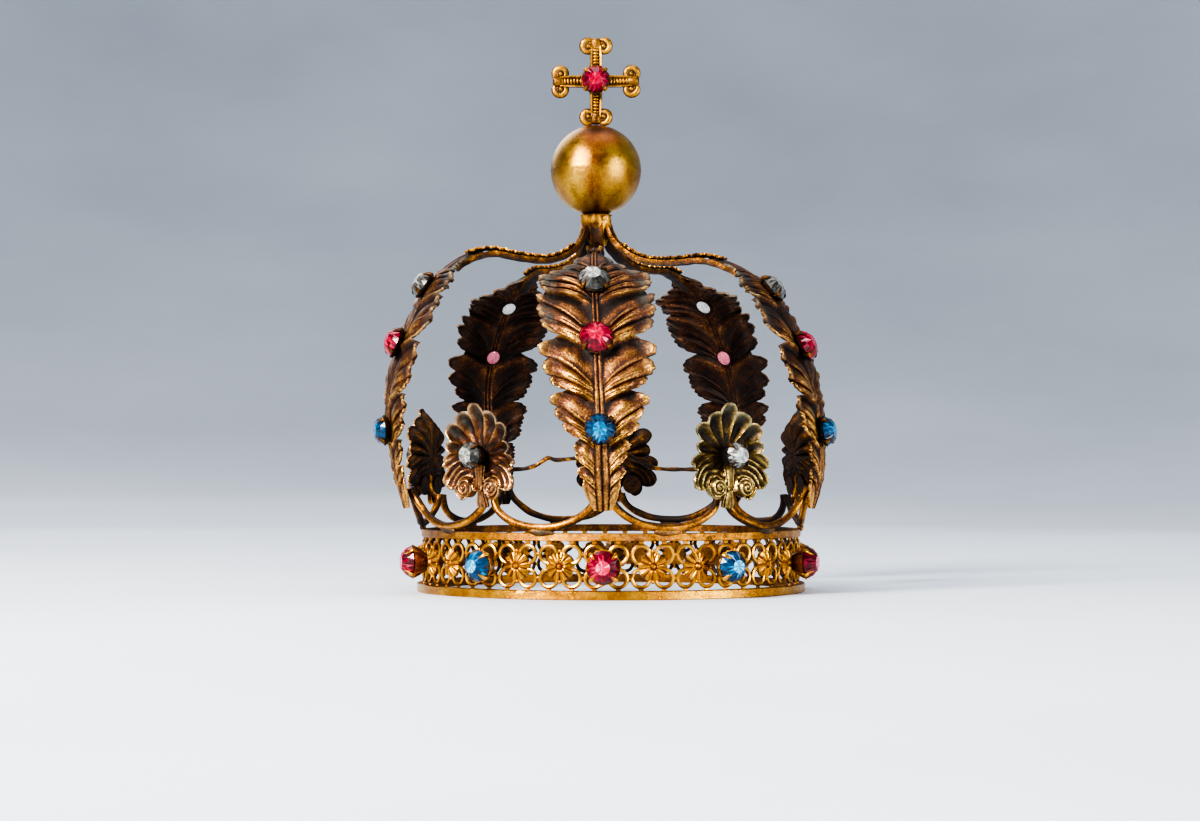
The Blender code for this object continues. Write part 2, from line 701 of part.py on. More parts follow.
def palmette_mesh(azimuth):
    """Cupped shell-like leaf: a middle, a ring half way out and a lobed edge that curls forward."""
    outline = palmette_outline()
    count = len(outline)
    middle = around(PALMETTE_RADIUS, azimuth, PALMETTE_HEIGHT)
    front = [middle]
    for share in (PALMETTE_MID_SHARE, 1.0):
        for x, y, edge_rise in outline:
            rise = edge_rise if share == 1.0 else PALMETTE_MID_RISE
            place_on_face = sideways(azimuth) * x * share + Vector((0.0, 0.0, y * share))
            front.append(middle + place_on_face + outward(azimuth) * rise)
    back = [p - outward(azimuth) * PALMETTE_THICKNESS for p in front]
    shift = len(front)
    faces = []
    for k in range(count):
        after = (k + 1) % count
        for turned in (False, True):
            for face in ((0, 1 + k, 1 + after), (1 + k, 1 + count + k, 1 + count + after, 1 + after)):
                faces.append(tuple(n + shift for n in reversed(face)) if turned else face)
        a, b = 1 + count + k, 1 + count + after
        faces.append((a, b, b + shift, a + shift))
    return mesh_from(front + back, faces)


def build_palmette(name):
    """Palmette with a stone on a post in its middle."""
    azimuth = PALMETTE_AZIMUTHS[name]
    foot = around(PALMETTE_RADIUS, azimuth, PALMETTE_HEIGHT)
    seat = Seat(foot, outward(azimuth), Vector((0.0, 0.0, 1.0)))
    parts = [palmette_mesh(azimuth)]
    parts.append(setting(seat, PALMETTE_STONE_RADIUS, PALMETTE_GIRDLE, PALMETTE_POST_RADIUS, COLLET_SINK))
    add_object(f"palmette_{name}", soldered(parts), "aged_brass")
    stone = cut_stone(seat, PALMETTE_STONE_RADIUS, PALMETTE_GIRDLE)
    add_object(f"stone_palmette_{name}", stone, "clear_glass")


def build_festoons():
    """Ten wires that hang from the arches' feet to the rim and rise to the palmettes' bases."""
    for name, azimuth in ARCH_AZIMUTHS.items():
        for side, sign in (("left", -1.0), ("right", 1.0)):
            points = []
            for k in range(WIRE_STEPS + 1):
                turn = math.pi * k / WIRE_STEPS
                end = WIRE_ARCH_END if turn < math.pi / 2 else WIRE_PALMETTE_END
                climb = 1.0 - math.sin(turn)
                radius = WIRE_LOW_RADIUS + (end[0] - WIRE_LOW_RADIUS) * climb
                height = WIRE_LOW_HEIGHT + (end[1] - WIRE_LOW_HEIGHT) * climb
                reach = WIRE_HALF_SPAN - math.degrees(WIRE_END_SIDE / end[0])
                along = WIRE_HALF_SPAN - reach * math.cos(turn)
                points.append(around(radius, azimuth + sign * along, height))
            mesh = wire(points, WIRE_RADIUS, WIRE_SIDES)
            add_object(f"festoon_wire_{name}_{side}", mesh, "aged_brass")


def turned(profile, sides):
    """Solid turned about the leaning axis from (radius, height) rows, bottom to top."""
    step = 360.0 / sides
    return tube_between([[around(r, step * k, z) for k in range(sides)] for r, z in profile])


def build_neck_and_orb():
    """Solder neck between the strips' ends, and the ball on it."""
    add_object("neck", turned(NECK_PROFILE, NECK_SIDES), "gilt_brass")
    rows = []
    for k in range(1, ORB_RINGS + 1):
        turn = math.pi * k / (ORB_RINGS + 1)
        rows.append((ORB_RADIUS * math.sin(turn), ORB_HEIGHT - ORB_RADIUS * math.cos(turn)))
    rings = [[around(r, 360.0 / ORB_SEGMENTS * k, z) for k in range(ORB_SEGMENTS)] for r, z in rows]
    verts = [v for ring in rings for v in ring]
    poles = (around(0.0, 0.0, ORB_HEIGHT - ORB_RADIUS), around(0.0, 0.0, ORB_HEIGHT + ORB_RADIUS))
    verts += poles
    n = ORB_SEGMENTS
    faces = []
    for k in range(n):
        after = (k + 1) % n
        for i in range(len(rings) - 1):
            faces.append((i * n + k, i * n + after, (i + 1) * n + after, (i + 1) * n + k))
        top = (len(rings) - 1) * n
        faces.append((k, after, len(verts) - 2))
        faces.append((top + k, top + after, len(verts) - 1))
    add_object("orb", mesh_from(verts, faces), "gilt_brass")


def cross_outline():
    """Outline of the cross as (across, up), four like arms with a scroll on each side of the end."""
    right = CROSS_ARM_OUTLINE
    arm = [(along, -beside) for along, beside in right] + [(CROSS_ARM, 0.0)]
    arm += [(along, beside) for along, beside in reversed(right)]
    outline = []
    for k in range(4):
        cosine = math.cos(math.pi / 2 * k)
        sine = math.sin(math.pi / 2 * k)
        for x, y in arm:
            outline.append((x * cosine - y * sine, x * sine + y * cosine))
    return outline


def build_cross():
    """Flat cross that stands on the orb, and the red stone on its crossing."""
    outline = cross_outline()
    count = len(outline)
    verts = []
    for depth in (-CROSS_HALF_THICKNESS, CROSS_HALF_THICKNESS):
        verts += [Vector((x, depth, CROSS_HEIGHT + y)) for x, y in outline]
    faces = [tuple(range(count)), tuple(range(2 * count - 1, count - 1, -1))]
    for k in range(count):
        after = (k + 1) % count
        faces.append((k, after, count + after, count + k))
    foot = Vector((0.0, -CROSS_HALF_THICKNESS, CROSS_HEIGHT))
    seat = Seat(foot, Vector((0.0, -1.0, 0.0)), Vector((0.0, 0.0, 1.0)))
    parts = [mesh_from(verts, faces)]
    foot_radius = CROSS_STONE_RADIUS * COLLET_BASE_SHARE
    parts.append(setting(seat, CROSS_STONE_RADIUS, CROSS_GIRDLE, foot_radius, COLLET_SINK))
    add_object("cross", soldered(parts), "gilt_brass")
    add_object("stone_cross", cut_stone(seat, CROSS_STONE_RADIUS, CROSS_GIRDLE), "red_glass")


def build_tie_wire():
    """Thin kinked wire between the two front palmettes."""
    points = [Vector(p) for p in TIE_WIRE_POINTS]
    add_object("tie_wire", wire(points, TIE_WIRE_RADIUS, WIRE_SIDES), "aged_brass")


def clear_scene():
    """Remove whatever the scene holds."""
    for old in list(bpy.data.objects):
        bpy.data.objects.remove(old)


clear_scene()
build_band()
for arch_name in ARCH_AZIMUTHS:
    build_arch(arch_name)
for palmette_name in PALMETTE_AZIMUTHS:
    build_palmette(palmette_name)
build_festoons()
build_neck_and_orb()
build_cross()
build_tie_wire()
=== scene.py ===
"""Looks of a small gilt crown for a statue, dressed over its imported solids.

Lengths are written in millimetres and turned into metres when a mesh is made. A place on the crown
is a radius from the band's axis, an azimuth in degrees and a height. Azimuth 0 is the front, at -Y,
and grows towards +X.
"""
import logging
import math
from dataclasses import dataclass, field
from enum import Enum

import bmesh
import bpy
import numpy as np
from mathutils import Euler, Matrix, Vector


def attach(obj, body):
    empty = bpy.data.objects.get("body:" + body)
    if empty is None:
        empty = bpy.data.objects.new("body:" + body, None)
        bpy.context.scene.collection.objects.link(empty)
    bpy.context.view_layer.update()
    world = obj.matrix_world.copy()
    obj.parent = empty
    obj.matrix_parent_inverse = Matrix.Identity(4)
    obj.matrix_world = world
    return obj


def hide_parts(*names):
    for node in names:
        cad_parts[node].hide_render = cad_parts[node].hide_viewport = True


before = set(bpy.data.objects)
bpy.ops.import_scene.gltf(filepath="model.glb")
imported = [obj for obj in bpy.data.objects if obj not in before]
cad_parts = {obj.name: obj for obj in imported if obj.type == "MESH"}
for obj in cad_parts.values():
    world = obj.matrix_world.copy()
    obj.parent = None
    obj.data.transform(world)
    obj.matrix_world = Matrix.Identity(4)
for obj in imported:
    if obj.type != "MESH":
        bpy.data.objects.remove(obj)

log = logging.getLogger("crown")
Array = np.ndarray

MM = 0.001
MERGE = 2e-6
UP = np.array([0.0, 0.0, 1.0])
FRONT = np.array([0.0, -1.0, 0.0])
AXIS_X, AXIS_Y = 1.1, 2.0
LEAN, LEAN_FOOT, LEAN_TOP, LEAN_POWER = -3.9, 22.0, 97.0, 1.5


class Slot(Enum):
    """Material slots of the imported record."""

    GILT = "gilt_brass"
    AGED = "aged_brass"
    RED = "red_glass"
    BLUE = "blue_glass"
    CLEAR = "clear_glass"


# --- places ---


def place(points: Array) -> Array:
    """Turn points in millimetres from the foot of the axis into world metres.

    The shift to the left is LEAN times the share of the height, to the power LEAN_POWER.

    Args:
        points: array whose last axis is across, depth and height.

    Returns:
        An array of the same shape in metres.
    """
    share = np.clip((points[..., 2] - LEAN_FOOT) / (LEAN_TOP - LEAN_FOOT), 0.0, 1.0)
    moved = np.array(points, dtype=float)
    moved[..., 0] += AXIS_X + LEAN * share ** LEAN_POWER
    moved[..., 1] += AXIS_Y
    return moved * MM


def around(radius: Array, azimuth: Array, height: Array) -> Array:
    """Points at radii, azimuths in degrees and heights, in millimetres."""
    turn = np.radians(azimuth)
    radius, turn, height = np.broadcast_arrays(radius, turn, height)
    return np.stack([radius * np.sin(turn), -radius * np.cos(turn), height], axis=-1)


def beside(azimuth: float) -> Array:
    """Level direction along the band at an azimuth, towards larger azimuths."""
    return np.array([math.cos(math.radians(azimuth)), math.sin(math.radians(azimuth)), 0.0])


def unit(vectors: Array) -> Array:
    """Vectors of length one."""
    return vectors / np.linalg.norm(vectors, axis=-1, keepdims=True)


def clamp(value: Array) -> Array:
    """Values held between 0 and 1."""
    return np.clip(value, 0.0, 1.0)


def bell(value: Array, middle: Array | float, width: Array | float) -> Array:
    """Bell curve of height one: e to minus the squared distance from the middle, in widths."""
    return np.exp(-((value - middle) / width) ** 2)


def smooth_noise(shape: tuple[int, int], cells: tuple[int, int], seed: int) -> Array:
    """Seeded noise on a grid: random values on a coarse grid, blended with a cosine ease.

    Args:
        shape: rows and columns of the result.
        cells: rows and columns of the coarse grid.
        seed: of the random draw.

    Returns:
        Values between -1 and 1.
    """
    draw = np.random.default_rng(seed).uniform(-1.0, 1.0, (cells[0] + 1, cells[1] + 1))
    rows = np.linspace(0.0, cells[0] - 1e-6, shape[0])
    columns = np.linspace(0.0, cells[1] - 1e-6, shape[1])
    i, j = rows.astype(int), columns.astype(int)
    a = (0.5 - 0.5 * np.cos(np.pi * (rows - i)))[:, None]
    b = (0.5 - 0.5 * np.cos(np.pi * (columns - j)))[None, :]
    low = draw[i][:, j] * (1 - b) + draw[i][:, j + 1] * b
    high = draw[i + 1][:, j] * (1 - b) + draw[i + 1][:, j + 1] * b
    return low * (1 - a) + high * a


# --- meshes ---


@dataclass
class Patch:
    """A grid surface.

    Attributes:
        points: rows x columns x 3, in millimetres.
        wear_and_shade: 1 on ridges, rubbed bright and given painted highlights, and -1 in hollows, with
            dirt and painted shade.
        green: share of verdigris.
        shade: painted brightness of a facet or patch, for stones, standing in for their reflections and
            sparkle.
    """

    points: Array
    wear_and_shade: Array | float = 0.0
    green: Array | float = 0.0
    shade: Array | float = 0.5


def quads(rows: int, columns: int) -> Array:
    """Corner numbers of a grid's faces."""
    index = np.arange(rows * columns).reshape(rows, columns)
    faces = np.stack([index[:-1, :-1], index[:-1, 1:], index[1:, 1:], index[1:, :-1]], axis=-1)
    return faces.reshape(-1, 4)


def sheet(front: Patch, back: Array, back_shade: float = -0.62) -> list[Patch]:
    """Closed sheet between two grids: front, back turned over, and a strip round the border.

    Args:
        front: outer face.
        back: points of the inner face, on the same grid.
        back_shade: painted shade of the inner face.

    Returns:
        Three patches that share their border points.
    """
    shape = front.points.shape[:2]

    def border(grid: Array) -> Array:
        """Values round the grid's edge, closed."""
        return np.concatenate([grid[0], grid[1:, -1], grid[-1, -2::-1], grid[-2::-1, 0]])

    rim = np.stack([border(front.points), border(back)])
    wear_and_shade = np.broadcast_to(front.wear_and_shade, shape)
    green = np.broadcast_to(front.green, shape)
    edge = np.stack([border(wear_and_shade), border(wear_and_shade) * 0.4 + 0.2])
    moss = np.stack([border(green), border(green)])
    # Painted shade on the inner face, darker still behind the front's bright ridges.
    under = np.clip(back_shade - 0.5 * wear_and_shade, -1.0, 0.1)
    return [front, Patch(back[:, ::-1], under[:, ::-1], green[:, ::-1] * 0.25), Patch(rim, edge, moss)]


def sweep(path: Array, section: Array, lead: Array, scale: Array | float = 1.0) -> Array:
    """Carry a closed profile along a path, with both ends drawn to a point.

    A point of the grid is the path's point, plus the first coordinate of the profile along the lead
    direction made square to the way, plus the second along the way crossed with it.

    Args:
        path: points along the path.
        section: points of the profile, first and last the same.
        lead: direction of the profile's first axis, one or one for each point.
        scale: of the profile at each point of the path.

    Returns:
        Rows along the path by columns round the profile by 3.
    """
    way = unit(np.gradient(path, axis=0))
    lead = np.broadcast_to(lead, path.shape)
    first = unit(lead - way * np.sum(lead * way, axis=1, keepdims=True))
    second = np.cross(way, first)
    size = np.broadcast_to(scale, len(path))[:, None, None]
    across = first[:, None] * section[None, :, :1] + second[:, None] * section[None, :, 1:]
    grid = path[:, None] + size * across
    ends = [np.broadcast_to(path[k], grid[:1].shape) for k in (0, -1)]
    return np.concatenate([ends[0], grid, ends[1]])


def ring_section(radius: float, sides: int, flat: float = 1.0) -> Array:
    """Closed round profile; flat squeezes its second axis."""
    turn = np.linspace(0.0, math.tau, sides + 1)
    return np.stack([radius * np.cos(turn), radius * flat * np.sin(turn)], axis=1)


def box_section(half_a: float, half_b: float, bevel: float) -> Array:
    """Closed rectangular profile with cut corners."""
    a, b, c = half_a, half_b, bevel
    corners = [(a, b - c), (a - c, b), (c - a, b), (-a, b - c), (-a, c - b), (c - a, -b), (a - c, -b),
               (a, c - b)]
    return np.array(corners + corners[:1])


def lump(centre: Array, axes: Array, radii: tuple[float, float, float], shape: tuple[int, int] = (9, 17),
         swell: Array | float = 1.0, blunt: float = 1.0) -> Array:
    """Ball-like grid: sine and cosine of two angles times a radius along each of three axes.

    Args:
        centre: of the ball.
        axes: three directions, the last through the poles.
        radii: along the axes.
        shape: rows from pole to pole and columns round it.
        swell: factor of the radii at each point.
        blunt: power of the sine, under 1 for a flatter disc.

    Returns:
        Rows by columns by 3.
    """
    q = np.linspace(0.0, math.pi, shape[0])[:, None]
    turn = np.linspace(0.0, math.tau, shape[1])[None, :]
    wide = np.sin(q) ** blunt
    parts = (radii[0] * wide * np.cos(turn) * swell, radii[1] * wide * np.sin(turn) * swell,
             radii[2] * np.cos(q) * swell + 0.0 * turn)
    return centre + sum(part[..., None] * axis for part, axis in zip(parts, axes))


def join_crown(mesh: bpy.types.Mesh, material: bpy.types.Material,
               replaces: tuple[str, ...]) -> bpy.types.Object:
    """Put a mesh into the scene as an object of the same name that rides on the crown.

    Args:
        mesh: of the piece.
        material: its finish.
        replaces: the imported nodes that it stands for.

    Returns:
        The new object.
    """
    mesh.materials.append(material)
    piece = bpy.data.objects.new(mesh.name, mesh)
    bpy.context.scene.collection.objects.link(piece)
    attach(piece, "root")
    if replaces:
        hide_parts(*replaces)
    log.info("%s: %d faces", piece.name, len(mesh.polygons))
    return piece


def make_piece(name: str, patches: list[Patch], material: bpy.types.Material,
               replaces: tuple[str, ...] = (), crease: float = 45.0) -> bpy.types.Object:
    """Join patches into one named mesh that rides on the crown.

    Doubled points are merged, which closes seams and poles, and faces are turned outwards.

    Args:
        name: of the piece.
        patches: its surfaces.
        material: its finish.
        replaces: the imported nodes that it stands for.
        crease: angle in degrees over which an edge stays sharp.

    Returns:
        The new object.
    """
    points = np.concatenate([p.points.reshape(-1, 3) for p in patches])
    faces, start = [], 0
    for patch in patches:
        rows, columns = patch.points.shape[:2]
        faces.append(quads(rows, columns) + start)
        start += rows * columns
    faces = np.concatenate(faces)
    mesh = bpy.data.meshes.new(name)
    mesh.vertices.add(len(points))
    mesh.vertices.foreach_set("co", place(points).ravel())
    mesh.loops.add(faces.size)
    mesh.loops.foreach_set("vertex_index", faces.ravel())
    mesh.polygons.add(len(faces))
    mesh.polygons.foreach_set("loop_start", np.arange(0, faces.size, 4))
    mesh.update(calc_edges=True)
    for key in ("wear_and_shade", "green", "shade"):
        values = [np.broadcast_to(getattr(p, key), p.points.shape[:2]).ravel() for p in patches]
        layer = mesh.attributes.new(key, "FLOAT", "POINT")
        layer.data.foreach_set("value", np.concatenate(values).astype(np.float32))
    bm = bmesh.new()
    bm.from_mesh(mesh)
    bmesh.ops.remove_doubles(bm, verts=bm.verts, dist=MERGE)
    bmesh.ops.dissolve_degenerate(bm, edges=bm.edges, dist=1e-7)
    bmesh.ops.recalc_face_normals(bm, faces=bm.faces)
    bm.to_mesh(mesh)
    bm.free()
    mesh.shade_smooth()
    mesh.set_sharp_from_angle(angle=math.radians(crease))
    return join_crown(mesh, material, replaces)


# --- finishes ---


Colour = tuple[float, float, float]


class Nodes:
    """Short ways to add shader nodes to a material."""

    def __init__(self, name: str) -> None:
        """Start a material whose Principled shader is at hand."""
        self.material = bpy.data.materials.new(name)
        self.material.use_nodes = True
        self.tree = self.material.node_tree
        self.shader = self.tree.nodes["Principled BSDF"]

    def add(self, kind: str, **inputs: object) -> bpy.types.Node:
        """Add a node and set or link its inputs.

        Args:
            kind: the node's class name without ShaderNode.
            inputs: values or output sockets by input name, underscores for spaces.

        Returns:
            The node.
        """
        node = self.tree.nodes.new("ShaderNode" + kind)
        for key, value in inputs.items():
            self.put(node, key.replace("_", " "), value)
        return node

    def put(self, node: bpy.types.Node, key: str | int, value: object) -> None:
        """Link an output socket to an input, or set the input's value."""
        if isinstance(value, bpy.types.NodeSocket):
            self.tree.links.new(value, node.inputs[key])
        else:
            node.inputs[key].default_value = value

    def attribute(self, name: str) -> bpy.types.NodeSocket:
        """Value of a mesh attribute."""
        node = self.tree.nodes.new("ShaderNodeAttribute")
        node.attribute_name = name
        return node.outputs["Fac"]

    def math(self, kind: str, a: object, b: object = 0.0, clamp: bool = False) -> bpy.types.NodeSocket:
        """Result of a Math node."""
        node = self.tree.nodes.new("ShaderNodeMath")
        node.operation = kind
        node.use_clamp = clamp
        self.put(node, 0, a)
        self.put(node, 1, b)
        return node.outputs[0]

    def noise(self, scale: float, detail: float = 3.0, rough: float = 0.55,
              stretch: tuple[float, float, float] = (1.0, 1.0, 1.0)) -> bpy.types.NodeSocket:
        """Noise on object coordinates; scale is in cycles a metre and stretch scales each axis."""
        place_at = self.tree.nodes.new("ShaderNodeTexCoord").outputs["Object"]
        mapping = self.add("Mapping", Vector=place_at)
        mapping.inputs["Scale"].default_value = stretch
        node = self.add("TexNoise", Vector=mapping.outputs[0], Scale=scale, Detail=detail, Roughness=rough)
        return node.outputs["Fac"]

    def ramp(self, value: object, stops: list[tuple[float, Colour]]) -> bpy.types.NodeSocket:
        """Colour ramp through stops of place and colour."""
        node = self.add("ValToRGB", Fac=value)
        band = node.color_ramp
        while len(band.elements) < len(stops):
            band.elements.new(0.5)
        for element, (at, colour) in zip(band.elements, stops):
            element.position = at
            element.color = (*colour, 1.0)
        return node.outputs["Color"]

    def mix(self, share: object, a: object, b: object) -> bpy.types.NodeSocket:
        """Blend of two colours."""
        node = self.tree.nodes.new("ShaderNodeMix")
        node.data_type = "RGBA"
        self.put(node, 0, share)
        for key, value in ((6, a), (7, b)):
            self.put(node, key, (*value, 1.0) if isinstance(value, tuple) else value)
        return node.outputs[2]

    def span(self, value: object, low: float, high: float, to_low: float = 0.0,
             to_high: float = 1.0) -> bpy.types.NodeSocket:
        """Map a value from one range to another, clamped."""
        node = self.add("MapRange", Value=value)
        for key, number in zip(("From Min", "From Max", "To Min", "To Max"), (low, high, to_low, to_high)):
            node.inputs[key].default_value = number
        return node.outputs[0]


@dataclass(frozen=True)
class Brass:
    """Gilt or bare brass: hollows darker with dirt and painted shade, ridges brighter with rubbed wear and
    painted highlights.

    Attributes:
        hollow, dull, body, bright: colours from the deepest hollow, dark with dirt and painted shade, to
            the ridge, bright with rubbed wear and painted highlights.
        lift: shifts the whole surface towards bright.
        contrast: how strongly the mesh's level of dirt, wear, painted shade and painted highlights sorts
            the colours.
        stain: share of dark and coppery stains.
        patina: share of verdigris where the green attribute asks for it.
        smooth, rough: roughness on ridges and in hollows.
        pits: strength of the fine pitting.
        scratches: strength of the fine scratches.
        speckle, mottle: how far fine and larger spots shift the colour.
        middle: level of a surface that is neither a hollow nor a ridge.
        depth: height of the pits and scratches in metres.
    """

    name: str
    hollow: Colour = (0.012, 0.006, 0.004)
    dull: Colour = (0.10, 0.043, 0.014)
    body: Colour = (0.44, 0.175, 0.022)
    bright: Colour = (0.84, 0.42, 0.055)
    copper: Colour = (0.34, 0.12, 0.05)
    verdigris: Colour = (0.10, 0.115, 0.085)
    lift: float = 0.0
    contrast: float = 0.42
    stain: float = 0.5
    patina: float = 0.8
    smooth: float = 0.24
    rough: float = 0.6
    pits: float = 0.5
    scratches: float = 0.0
    speckle: float = 0.13
    mottle: float = 0.16
    middle: float = 0.56
    depth: float = 0.0003

    def material(self) -> bpy.types.Material:
        """Make or find the finish's material."""
        known = bpy.data.materials.get(self.name)
        if known:
            return known
        n = Nodes(self.name)
        wear_and_shade = n.attribute("wear_and_shade")
        green = n.attribute("green")
        broad = n.noise(95.0, 3.0)
        middle = n.noise(420.0, 4.0, 0.65)
        fine = n.noise(2100.0, 3.0, 0.6)
        # Level of the ramp: dirt and rubbed wear together with painted shade and painted highlights from
        # the mesh.
        level = n.math("ADD", n.math("MULTIPLY", wear_and_shade, self.contrast), self.middle + self.lift)
        level = n.math("ADD", level, n.span(middle, 0.32, 0.68, -self.mottle, self.mottle))
        level = n.math("ADD", level, n.span(fine, 0.34, 0.66, -self.speckle, self.speckle))
        level = n.math("ADD", level, n.span(broad, 0.35, 0.65, -0.07, 0.07), clamp=True)
        stops = zip((0.10, 0.38, 0.66, 0.95), (self.hollow, self.dull, self.body, self.bright))
        colour = n.ramp(level, list(stops))
        copper = n.math("MULTIPLY", n.span(n.noise(160.0, 3.0), 0.52, 0.72), self.stain)
        colour = n.mix(copper, colour, n.mix(level, self.hollow, self.copper))
        spots = n.span(n.noise(700.0, 4.0, 0.7), 0.60, 0.72)
        colour = n.mix(n.math("MULTIPLY", spots, self.stain), colour, self.hollow)
        moss = n.math("MULTIPLY", n.span(n.noise(330.0, 4.0, 0.7), 0.36, 0.6), green)
        moss = n.math("MULTIPLY", moss, self.patina, clamp=True)
        colour = n.mix(moss, colour, self.verdigris)
        n.put(n.shader, "Base Color", colour)
        metal = n.span(level, 0.05, 0.4, 0.55, 1.0)
        n.put(n.shader, "Metallic", n.math("SUBTRACT", metal, moss, clamp=True))
        dull = n.span(level, 0.15, 0.85, self.rough, self.smooth)
        dull = n.math("ADD", dull, n.span(middle, 0.3, 0.7, -0.07, 0.07))
        n.put(n.shader, "Roughness", n.math("ADD", dull, n.math("MULTIPLY", moss, 0.3), clamp=True))
        height = n.math("ADD", n.math("MULTIPLY", fine, 0.6), middle)
        if self.scratches:
            lines = n.math("MULTIPLY", n.noise(900.0, 2.0, 0.5, (1.0, 1.0, 14.0)), self.scratches)
            height = n.math("ADD", lines, n.math("MULTIPLY", middle, 0.4))
        bump = n.add("Bump", Height=height, Strength=self.pits)
        bump.inputs["Distance"].default_value = self.depth
        n.put(n.shader, "Normal", bump.outputs[0])
        n.material.diffuse_color = (*self.body, 1.0)
        return n.material


@dataclass(frozen=True)
class Paste:
    """Foiled glass of a stone under a clear coat: each facet has its own painted brightness, which stands
    in for reflections inside the stone; flash is the colour of the painted glints.
    """

    name: str
    deep: Colour
    body: Colour
    light: Colour
    flash: Colour

    def material(self) -> bpy.types.Material:
        """Make or find the stone's material."""
        known = bpy.data.materials.get(self.name)
        if known:
            return known
        n = Nodes(self.name)
        shade = n.attribute("shade")
        cloud = n.span(n.noise(900.0, 2.0), 0.3, 0.7, -0.12, 0.12)
        level = n.math("ADD", shade, cloud, clamp=True)
        # Each facet's painted brightness picks its colour, from deep up to the painted glint.
        colour = n.ramp(level, [(0.10, self.deep), (0.48, self.body), (0.8, self.light), (1.0, self.flash)])
        n.put(n.shader, "Base Color", colour)
        n.put(n.shader, "Metallic", 0.3)
        n.put(n.shader, "Roughness", n.span(n.noise(1500.0, 2.0), 0.4, 0.7, 0.2, 0.36))
        for key, value in (("Specular IOR Level", 0.3), ("Coat Weight", 0.22), ("Coat Roughness", 0.03),
                           ("Coat IOR", 1.55)):
            n.put(n.shader, key, value)
        n.material.diffuse_color = (*self.body, 1.0)
        return n.material


GILT = Brass("gilt_gallery", lift=0.02, bright=(0.78, 0.41, 0.05), contrast=0.6, stain=0.2, smooth=0.31,
             rough=0.52, pits=0.3, speckle=0.08, mottle=0.09)
RIM = Brass("gilt_rim", lift=0.06, bright=(0.80, 0.45, 0.055), contrast=0.35, stain=0.18, smooth=0.24,
            rough=0.45, pits=0.3, scratches=0.8, speckle=0.06, mottle=0.07)
BRONZE = Brass("bronze_rim", lift=-0.06, contrast=0.35, stain=0.65, smooth=0.3, rough=0.5, pits=0.4,
               scratches=0.8, copper=(0.45, 0.17, 0.10))
LEAF = Brass("aged_leaf", lift=-0.11, contrast=0.52, stain=0.45, dull=(0.105, 0.040, 0.020),
             body=(0.30, 0.145, 0.043), bright=(0.68, 0.37, 0.085), copper=(0.30, 0.10, 0.055), pits=0.8,
             speckle=0.17)
STRIP = Brass("aged_strip", lift=-0.22, contrast=0.5)
WIRE = Brass("aged_wire", lift=-0.18, contrast=0.46, smooth=0.3)
SHELL = Brass("aged_palmette", lift=-0.14, contrast=0.45, patina=1.0)
COPPERY = Brass("coppery_palmette", lift=-0.09, contrast=0.46, stain=0.45, patina=1.0,
                dull=(0.11, 0.04, 0.02), body=(0.28, 0.14, 0.055), bright=(0.58, 0.36, 0.17))
OLIVE = Brass("olive_palmette", lift=-0.09, contrast=0.48, stain=0.2, patina=1.0, dull=(0.09, 0.055, 0.02),
              body=(0.24, 0.155, 0.05), bright=(0.56, 0.42, 0.16))
PALMETTE_FINISH = {"front_right": OLIVE, "front_left": COPPERY}
CROSS = Brass("gilt_cross", lift=-0.10, contrast=0.6, stain=0.35, body=(0.42, 0.20, 0.028),
              bright=(0.80, 0.47, 0.075), smooth=0.33, rough=0.55, speckle=0.1, mottle=0.1)
ROSETTE = Brass("gilt_rosette", lift=0.06, bright=(0.78, 0.43, 0.05), stain=0.12, smooth=0.27, rough=0.5,
                pits=0.3, speckle=0.07, mottle=0.06)
# dull is the reddish brown of the painted dark reflection down the orb's front.
ORB = Brass("gilt_orb", lift=0.06, contrast=0.5, stain=0.1, dull=(0.20, 0.065, 0.016),
            body=(0.47, 0.26, 0.04), bright=(0.80, 0.54, 0.10), smooth=0.27, rough=0.4, pits=0.2,
            scratches=0.9, speckle=0.06, mottle=0.05)
CLAW = Brass("dark_claw", lift=-0.26)
RED = Paste("red_paste", (0.05, 0.0, 0.004), (0.30, 0.0, 0.02), (0.66, 0.015, 0.075), (0.93, 0.33, 0.43))
BLUE = Paste("blue_paste", (0.001, 0.008, 0.022), (0.001, 0.065, 0.17), (0.002, 0.28, 0.52),
             (0.34, 0.70, 0.86))
CLEAR = Paste("clear_paste", (0.015, 0.015, 0.013), (0.12, 0.115, 0.10), (0.42, 0.42, 0.40),
              (0.9, 0.92, 0.94))
FOILS = {
    "red": Paste("pink_foil", (0.5, 0.06, 0.10), (0.66, 0.12, 0.19), (0.82, 0.22, 0.3), (0.92, 0.4, 0.46)),
    "blue": Paste("light_blue_foil", (0.02, 0.2, 0.4), (0.03, 0.33, 0.55), (0.1, 0.55, 0.75),
                  (0.4, 0.8, 0.9)),
    "clear": Paste("white_foil", (0.5, 0.5, 0.48), (0.65, 0.65, 0.63), (0.85, 0.85, 0.83),
                   (0.92, 0.92, 0.9)),
}
STONE_FINISH = {"red": (RED, Slot.RED), "blue": (BLUE, Slot.BLUE), "clear": (CLEAR, Slot.CLEAR)}


# --- stones and settings ---


@dataclass
class Seat:
    """Frame of a setting: where it stands, which way the stone looks, and two ways across."""

    foot: Array
    look: Array
    up: Array

    def __post_init__(self) -> None:
        """Make the three directions square to each other."""
        self.look = unit(np.asarray(self.look, dtype=float))
        self.right = unit(np.cross(self.up, self.look))
        self.up = np.cross(self.look, self.right)

    def at(self, turn: Array, radius: Array, rise: Array) -> Array:
        """Points at angles in radians round the seat, radii and rises along its look."""
        turn, radius, rise = np.broadcast_arrays(turn, radius, rise)
        across = np.cos(turn)[..., None] * self.right + np.sin(turn)[..., None] * self.up
        return self.foot + across * radius[..., None] + self.look * rise[..., None]


